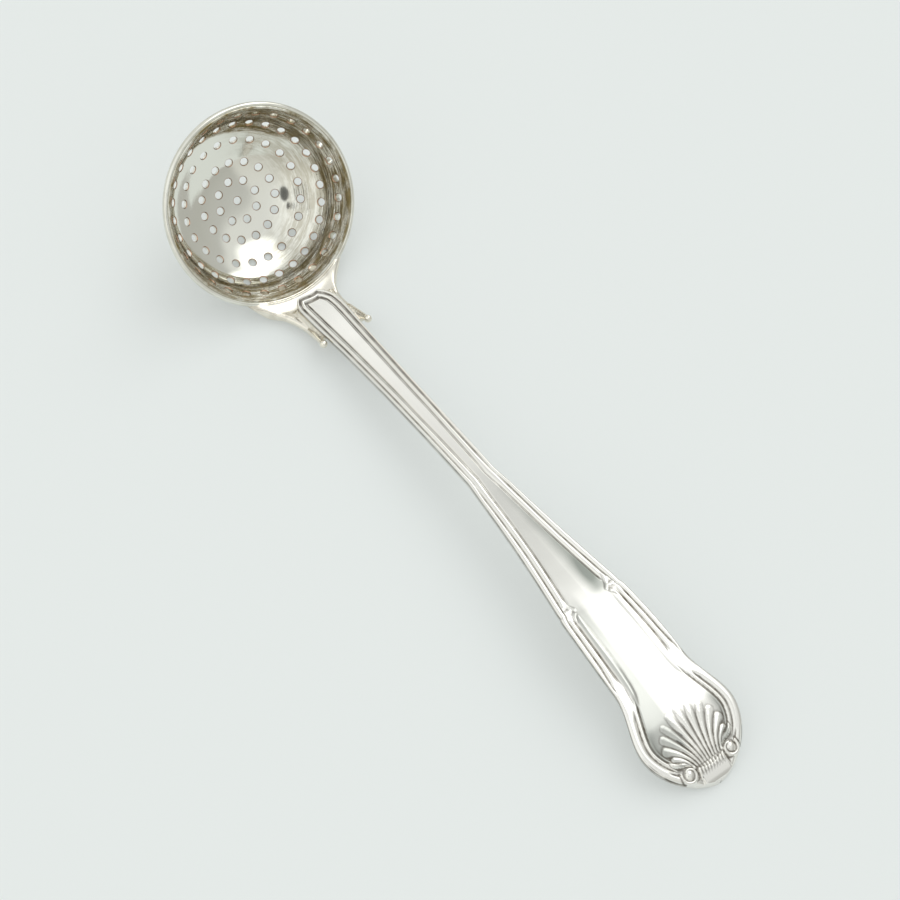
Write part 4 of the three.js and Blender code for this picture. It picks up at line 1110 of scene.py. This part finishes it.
def surface_net(field, low, step):
    """A closed skin where a sampled distance changes sign: one point in each cell that it passes through."""
    inside = field < 0
    cells = tuple(size - 1 for size in field.shape)
    total, hits = np.zeros((*cells, 3)), np.zeros(cells)

    def part(array, corner):
        return array[tuple(slice(c, c + n) for c, n in zip(corner, cells))]

    for corner in (np.array(c) for c in np.ndindex(2, 2, 2)):
        for axis in range(3):
            if corner[axis]:
                continue
            other = corner.copy()
            other[axis] = 1
            f0, f1 = part(field, corner), part(field, other)
            crossed = part(inside, corner) != part(inside, other)
            t = np.where(crossed, f0 / np.where(crossed, f0 - f1, 1), 0)
            for k in range(3):
                total[..., k] += np.where(crossed, corner[k] + (t if k == axis else 0), 0)
            hits += crossed
    used = hits > 0
    number = np.full(cells, -1)
    number[used] = np.arange(used.sum())
    points = low + step * (np.argwhere(used) + total[used] / hits[used][:, None])
    faces = []
    for axis in range(3):
        u, v = [k for k in range(3) if k != axis]
        a = inside[tuple(slice(0, -1) if k == axis else slice(1, -1) for k in range(3))]
        b = inside[tuple(slice(1, None) if k == axis else slice(1, -1) for k in range(3))]
        for at in np.argwhere(a != b):
            quad = []
            for du, dv in ((1, 1), (0, 1), (0, 0), (1, 0)):
                cell = at.copy()
                cell[u] += du
                cell[v] += dv
                quad.append(int(number[tuple(cell)]))
            turned = bool(a[tuple(at)]) != (axis == 1)
            faces.append(tuple(quad) if turned else tuple(reversed(quad)))
    return points, faces


def wall_distance(bowl, radius, height):
    """Signed distance from the bowl's outside at places round its axis, less than 0 within, read from a table."""
    line_r, line_z, _ = wall_curve(bowl, in_mm(bowl.wall), 260)
    table_r, table_z = np.arange(*TABLE_RADIUS, TABLE_STEP), np.arange(*TABLE_HEIGHT, TABLE_STEP)
    pairs = np.stack(np.meshgrid(table_r, table_z, indexing="ij"), -1).reshape(-1, 1, 2)
    gaps = np.linalg.norm(pairs - np.stack([line_r, line_z], 1)[None], axis=2).min(1)
    mouth = line_r[-1]
    within = (pairs[:, 0, 0] < mouth) & (pairs[:, 0, 1] > np.interp(pairs[:, 0, 0], line_r, line_z))
    gaps = np.where(within, -gaps, gaps).reshape(len(table_r), len(table_z))
    gaps = np.where((table_z > 0)[None] & (table_r < mouth)[:, None], -3, gaps)
    row = np.clip((radius - TABLE_RADIUS[0]) / TABLE_STEP, 0, len(table_r) - 1.001)
    col = np.clip((height - TABLE_HEIGHT[0]) / TABLE_STEP, 0, len(table_z) - 1.001)
    i, j = row.astype(int), col.astype(int)
    u, v = row - i, col - j
    return (gaps[i, j] * (1 - u) * (1 - v) + gaps[i + 1, j] * u * (1 - v) + gaps[i, j + 1] * (1 - u) * v
            + gaps[i + 1, j + 1] * u * v)


def tongue_distance(rim, lean, x, y, z, grid):
    """Signed distance to the tongue that runs from under the rim to the handle's root."""
    def under(at):
        return float(spine_height(at) - handle_thickness(at) - TONGUE_UNDER)

    side = [(8.0, 9.0), (31.5, 9.0), (31.5, float(spine_height(31.5)) - 3.4), (26.0, under(26.0)),
            (ROOT_X, under(ROOT_X)), (rim * math.cos(lean) * 0.78, 0.9), (8.0, 0.6)]
    in_plan = polygon_distance(x, y, TONGUE_PLAN)[:, :, None]
    in_side = polygon_distance(x, z, side)[:, None, :]
    chord = np.sqrt(np.clip(rim ** 2 - grid[1] ** 2, 0, None))
    beyond = grid[0] - chord * math.cos(lean)
    top = (MOUTH_Z - chord * math.sin(lean) - 0.1
           + np.where(beyond > 0, 0.12 * beyond, -beyond * math.tan(lean)))
    fillet = spine_height(grid[0]) - 1.6 - 1.4 * np.clip(np.abs(grid[1]) - 4.4, 0, None)
    top = np.where(grid[0] > ROOT_X, np.maximum(top, fillet), top)
    tongue = soft_max(soft_max(in_plan, in_side, TONGUE_BLEND), (grid[2] - top) * 0.8, TOP_BLEND)
    return soft_max(tongue, TONGUE_FRONT_X - grid[0], TOP_BLEND)


def yoke_field(sizes, bowl, x, y, z):
    """Signed distance to the yoke's surface at a grid of points in plan millimetres."""
    lean = bowl.lean
    rim = in_mm(bowl.mouth_radius + bowl.wall) + WIRE_REACH
    grid = np.meshgrid(x, y, z, indexing="ij")
    across = grid[0] * math.cos(lean) - (grid[2] - MOUTH_Z) * math.sin(lean)
    down = grid[0] * math.sin(lean) + (grid[2] - MOUTH_Z) * math.cos(lean)
    off_wall = wall_distance(bowl, np.hypot(across, grid[1]), down)
    turn = np.degrees(np.arctan2(grid[1], across))
    reach = from_table(WING_REACH, turn) * in_mm(sizes.wing_thickness) / WING_REACH_THICKNESS
    wing_depth = 1.6 + 4.6 * np.clip(1 - np.abs(turn) / math.degrees(sizes.wing_angle), 0, 1)
    wing = off_wall - reach * (1 - (np.clip(-down, 0, None) / wing_depth) ** 1.4)
    wing = soft_max(wing, down + 0.3, WING_BLEND)
    solid = soft_min(wing, tongue_distance(rim, lean, x, y, z, grid), JOIN_BLEND)
    for start, end in np.array(SPURS):
        stick = end - start
        t = np.clip(sum((g - s) * d for g, s, d in zip(grid, start, stick)) / (stick @ stick), 0, 1)
        gap = np.sqrt(sum((g - s - t * d) ** 2 for g, s, d in zip(grid, start, stick)))
        ball = np.sqrt(sum((g - e) ** 2 for g, e in zip(grid, end))) - in_mm(sizes.ball_radius)
        solid = soft_min(soft_min(solid, gap - SPUR_RADIUS, SPUR_BLEND), ball, BALL_BLEND)
    return np.maximum(np.maximum(solid, -0.3 - off_wall), 0.15 - grid[2])


class LADLE_OT_yoke(bpy.types.Operator):
    """Forge the yoke that holds the bowl and the handle's root"""
    bl_idname = "ladle.yoke"
    bl_label = "Yoke"

    def execute(self, context):
        sizes = context.scene.ladle_yoke
        axes = [np.arange(low, high, GRID_STEP) for low, high in zip(GRID_LOW, GRID_HIGH)]
        field = yoke_field(sizes, context.scene.ladle_bowl, *axes)
        points, faces = surface_net(field, np.array(GRID_LOW), GRID_STEP)
        yoke = closed_mesh("shoulder_yoke_forged", self.smoothed(points, faces), faces)
        shift_to_frame(yoke)
        settle(yoke, "shoulder_yoke", filed_silver(sizes))
        return {"FINISHED"}

    def smoothed(self, points, faces):
        """Evens the steps of the grid out of the skin."""
        quads = np.array(faces)
        pairs = np.vstack([quads[:, [i, (i + 1) % 4]] for i in range(4)])
        pairs = np.vstack([pairs, pairs[:, ::-1]])
        count = np.bincount(pairs[:, 0], minlength=len(points))[:, None]
        for weight in (0.5, -0.52, 0.5, -0.52, 0.5):
            mean = np.stack([np.bincount(pairs[:, 0], points[pairs[:, 1], k], len(points))
                             for k in range(3)], 1)
            points = points + weight * (mean / count - points)
        return points


# Stage. Directions in the room point from the ladle outwards, and a spot's reach is a distance on a unit ball.

SKY_LOW, SKY_HIGH = "#D2D2CE", "#DFE1E0"  # the room's walls low down and its ceiling, with colours between
SKY_STOPS = [(0.12, "#D2D3CE"), (0.35, "#D9DAD6"), (0.6, "#DEE0DE")]
# Direction, inner and outer reach, and strength of each soft lamp
LAMPS = [((0.0, 0.42, 0.9), 0.2, 0.46, 1.0), ((-0.33, 0.72, 0.61), 0.2, 0.36, 1.2),
         ((0.1, -0.7, 0.7), 0.4, 1.0, 0.22), ((-0.78, 0.31, 0.54), 0.1, 0.4, 0.3)]
# Direction, inner and outer reach of the dark camera and its stand, as the silver mirrors them
DARK_SPOTS = [((0.6, -0.46, 0.655), 0.11, 0.14), ((0.41, -0.46, 0.79), 0.05, 0.07)]
DARK_SHARE, DIM_SHARE = 0.85, 0.28  # light taken away by the dark spots, and low down on the right
VIEW_DIRECTION, VIEW_RIGHT = (-0.40169, 0.30625, -0.86305), (0.59713, 0.80212, 0.00671)
VIEW_TARGET = (64.733, 2.507)  # in plan, on the table


class LADLE_OT_stage(bpy.types.Operator):
    """Lay the pale tabletop and set up the room and the camera"""
    bl_idname = "ladle.stage"
    bl_label = "Stage"

    def execute(self, context):
        settings = context.scene.ladle_stage
        self.table(context, settings)
        self.room(context, settings)
        self.camera(context, settings)
        context.scene.view_settings.view_transform = "Standard"
        return {"FINISHED"}

    def table(self, context, settings):
        """A matt board that shows a share of its own colour to the camera and in mirrors, so that its shadows stay
        as pale as in a bright room."""
        mesh = bpy.data.meshes.new("tabletop")
        half = 3.0
        corners = [(-half, -half, 0), (half, -half, 0), (half, half, 0), (-half, half, 0)]
        mesh.from_pydata(corners, [], [(0, 1, 2, 3)])
        table = bpy.data.objects.new("tabletop", mesh)
        context.scene.collection.objects.link(table)
        material = bpy.data.materials.new("matt painted board")
        material.use_nodes = True
        tree = material.node_tree
        shader = tree.nodes["Principled BSDF"]
        shader.inputs["Base Color"].default_value = linear(settings.floor)
        shader.inputs["Roughness"].default_value = 0.9
        shader.inputs["Specular IOR Level"].default_value = 0.0
        glow = add_node(tree, "ShaderNodeEmission", {"Color": linear(settings.floor), "Strength": 1.0})
        path = add_node(tree, "ShaderNodeLightPath").outputs
        seen = add_node(tree, "ShaderNodeMath", {0: path["Is Camera Ray"], 1: path["Is Glossy Ray"]},
                        operation="MAXIMUM")
        seen = add_node(tree, "ShaderNodeMath", {0: seen.outputs[0], 1: path["Is Transmission Ray"]},
                        operation="MAXIMUM")
        share = add_node(tree, "ShaderNodeMath", {0: seen.outputs[0], 1: settings.lit_share},
                         operation="MULTIPLY")
        both = add_node(tree, "ShaderNodeMixShader", {0: share.outputs[0], 1: shader.outputs["BSDF"],
                                                      2: glow.outputs[0]})
        tree.links.new(both.outputs[0], tree.nodes["Material Output"].inputs["Surface"])
        mesh.materials.append(material)

    def room(self, context, settings):
        """A pale room with a large soft lamp overhead, one at the far right, a weak one on the left and a small
        weak one behind the bowl. It is darker low down on the right, and the camera and its stand make two dark
        spots in it."""
        world = bpy.data.worlds.new("pale room")
        world.use_nodes = True
        tree = world.node_tree
        tree.nodes.clear()
        where = add_node(tree, "ShaderNodeTexCoord").outputs["Generated"]

        def spot(toward, inner, outer):
            """A share of 1 within the inner distance of a direction that falls to 0 at the outer one."""
            away = add_node(tree, "ShaderNodeVectorMath", {0: where, 1: Vector(toward).normalized()},
                            operation="DISTANCE")
            fall = add_node(tree, "ShaderNodeMapRange", {"Value": away.outputs["Value"], "From Min": inner,
                                                         "From Max": outer, "To Min": 1.0, "To Max": 0.0},
                            interpolation_type="SMOOTHSTEP")
            return fall.outputs["Result"]

        split = add_node(tree, "ShaderNodeSeparateXYZ", {0: where}).outputs
        ramp = add_node(tree, "ShaderNodeValToRGB", {"Fac": split["Z"]})
        stops = ramp.color_ramp.elements
        stops[0].position, stops[0].color = 0.0, linear(SKY_LOW)
        stops[1].position, stops[1].color = 1.0, linear(SKY_HIGH)
        for position, code in SKY_STOPS:
            stops.new(position).color = linear(code)
        high, right = (add_node(tree, "ShaderNodeMapRange", {"Value": split[axis], "From Min": start,
                                                             "From Max": end}, interpolation_type="SMOOTHSTEP")
                       for axis, start, end in (("Z", 0.46, 0.62), ("Y", 0.12, 0.24)))
        low = add_node(tree, "ShaderNodeMath", {0: 1.0, 1: high.outputs["Result"]}, operation="SUBTRACT")
        dim = add_node(tree, "ShaderNodeMath", {0: low.outputs[0], 1: right.outputs["Result"]},
                       operation="MULTIPLY")
        level = add_node(tree, "ShaderNodeMath", {0: dim.outputs[0], 1: -DIM_SHARE, 2: 1.0},
                         operation="MULTIPLY_ADD")
        for *place, share in LAMPS:
            level = add_node(tree, "ShaderNodeMath", {0: spot(*place), 1: settings.lamp_strength * share,
                                                      2: level.outputs[0]}, operation="MULTIPLY_ADD")
        for place in DARK_SPOTS:
            left = add_node(tree, "ShaderNodeMath", {0: spot(*place), 1: -DARK_SHARE, 2: 1.0},
                            operation="MULTIPLY_ADD")
            level = add_node(tree, "ShaderNodeMath", {0: level.outputs[0], 1: left.outputs[0]},
                             operation="MULTIPLY")
        level = add_node(tree, "ShaderNodeMath", {0: level.outputs[0], 1: settings.room_strength},
                         operation="MULTIPLY")
        light = add_node(tree, "ShaderNodeBackground", {"Color": ramp.outputs["Color"],
                                                        "Strength": level.outputs[0]})
        shown = add_node(tree, "ShaderNodeBackground", {"Color": linear(settings.floor), "Strength": 1.0})
        path = add_node(tree, "ShaderNodeLightPath")
        mix = add_node(tree, "ShaderNodeMixShader", {0: path.outputs["Is Camera Ray"], 1: light.outputs[0],
                                                     2: shown.outputs[0]})
        add_node(tree, "ShaderNodeOutputWorld", {"Surface": mix.outputs[0]})
        context.scene.world = world

    def camera(self, context, settings):
        """The camera of the photograph, a long lens from above the bowl's left."""
        data = bpy.data.cameras.new("camera")
        data.lens = settings.camera_lens
        data.sensor_width = 36
        data.clip_start, data.clip_end = 0.05, 20
        camera = bpy.data.objects.new("camera", data)
        context.scene.collection.objects.link(camera)
        look = Vector(VIEW_DIRECTION).normalized()
        right = Vector(VIEW_RIGHT)
        right = (right - look * right.dot(look)).normalized()
        turn = Matrix((right, right.cross(look), -look)).transposed()
        target = Vector(((VIEW_TARGET[0] + MOUTH_X) * MM, VIEW_TARGET[1] * MM, 0))
        camera.matrix_world = Matrix.Translation(target - look * settings.camera_distance) @ turn.to_4x4()
        context.scene.camera = camera


class LADLE_PT_panel(bpy.types.Panel):
    """Lists the operators and sizes of the ladle"""
    bl_idname = "LADLE_PT_panel"
    bl_label = "Sifter Ladle"
    bl_space_type = "VIEW_3D"
    bl_region_type = "UI"
    bl_category = "Sifter Ladle"

    def draw(self, context):
        for operator, group in STEPS:
            box = self.layout.box()
            box.operator(operator.bl_idname)
            settings = getattr(context.scene, group)
            for name in settings.__annotations__:
                box.prop(settings, name)


GROUPS = {"ladle_bowl": BowlSizes, "ladle_rim": RimSizes, "ladle_handle": HandleSizes, "ladle_shell": ShellSizes,
          "ladle_yoke": YokeSizes, "ladle_stage": StageSettings}
STEPS = [(LADLE_OT_bowl, "ladle_bowl"), (LADLE_OT_rim, "ladle_rim"), (LADLE_OT_handle, "ladle_handle"),
         (LADLE_OT_yoke, "ladle_yoke"), (LADLE_OT_stage, "ladle_stage")]
CLASSES = [*GROUPS.values(), LADLE_OT_bowl, LADLE_OT_rim, LADLE_OT_handle, LADLE_OT_yoke, LADLE_OT_stage,
           LADLE_PT_panel]


def register():
    for item in CLASSES:
        bpy.utils.register_class(item)
    for name, group in GROUPS.items():
        setattr(bpy.types.Scene, name, PointerProperty(type=group))


def unregister():
    for name in GROUPS:
        delattr(bpy.types.Scene, name)
    for item in reversed(CLASSES):
        bpy.utils.unregister_class(item)


def main():
    register()
    bpy.ops.ladle.bowl()
    bpy.ops.ladle.rim()
    bpy.ops.ladle.handle()
    bpy.ops.ladle.yoke()
    bpy.ops.ladle.stage()


if __name__ == "__main__":
    main()
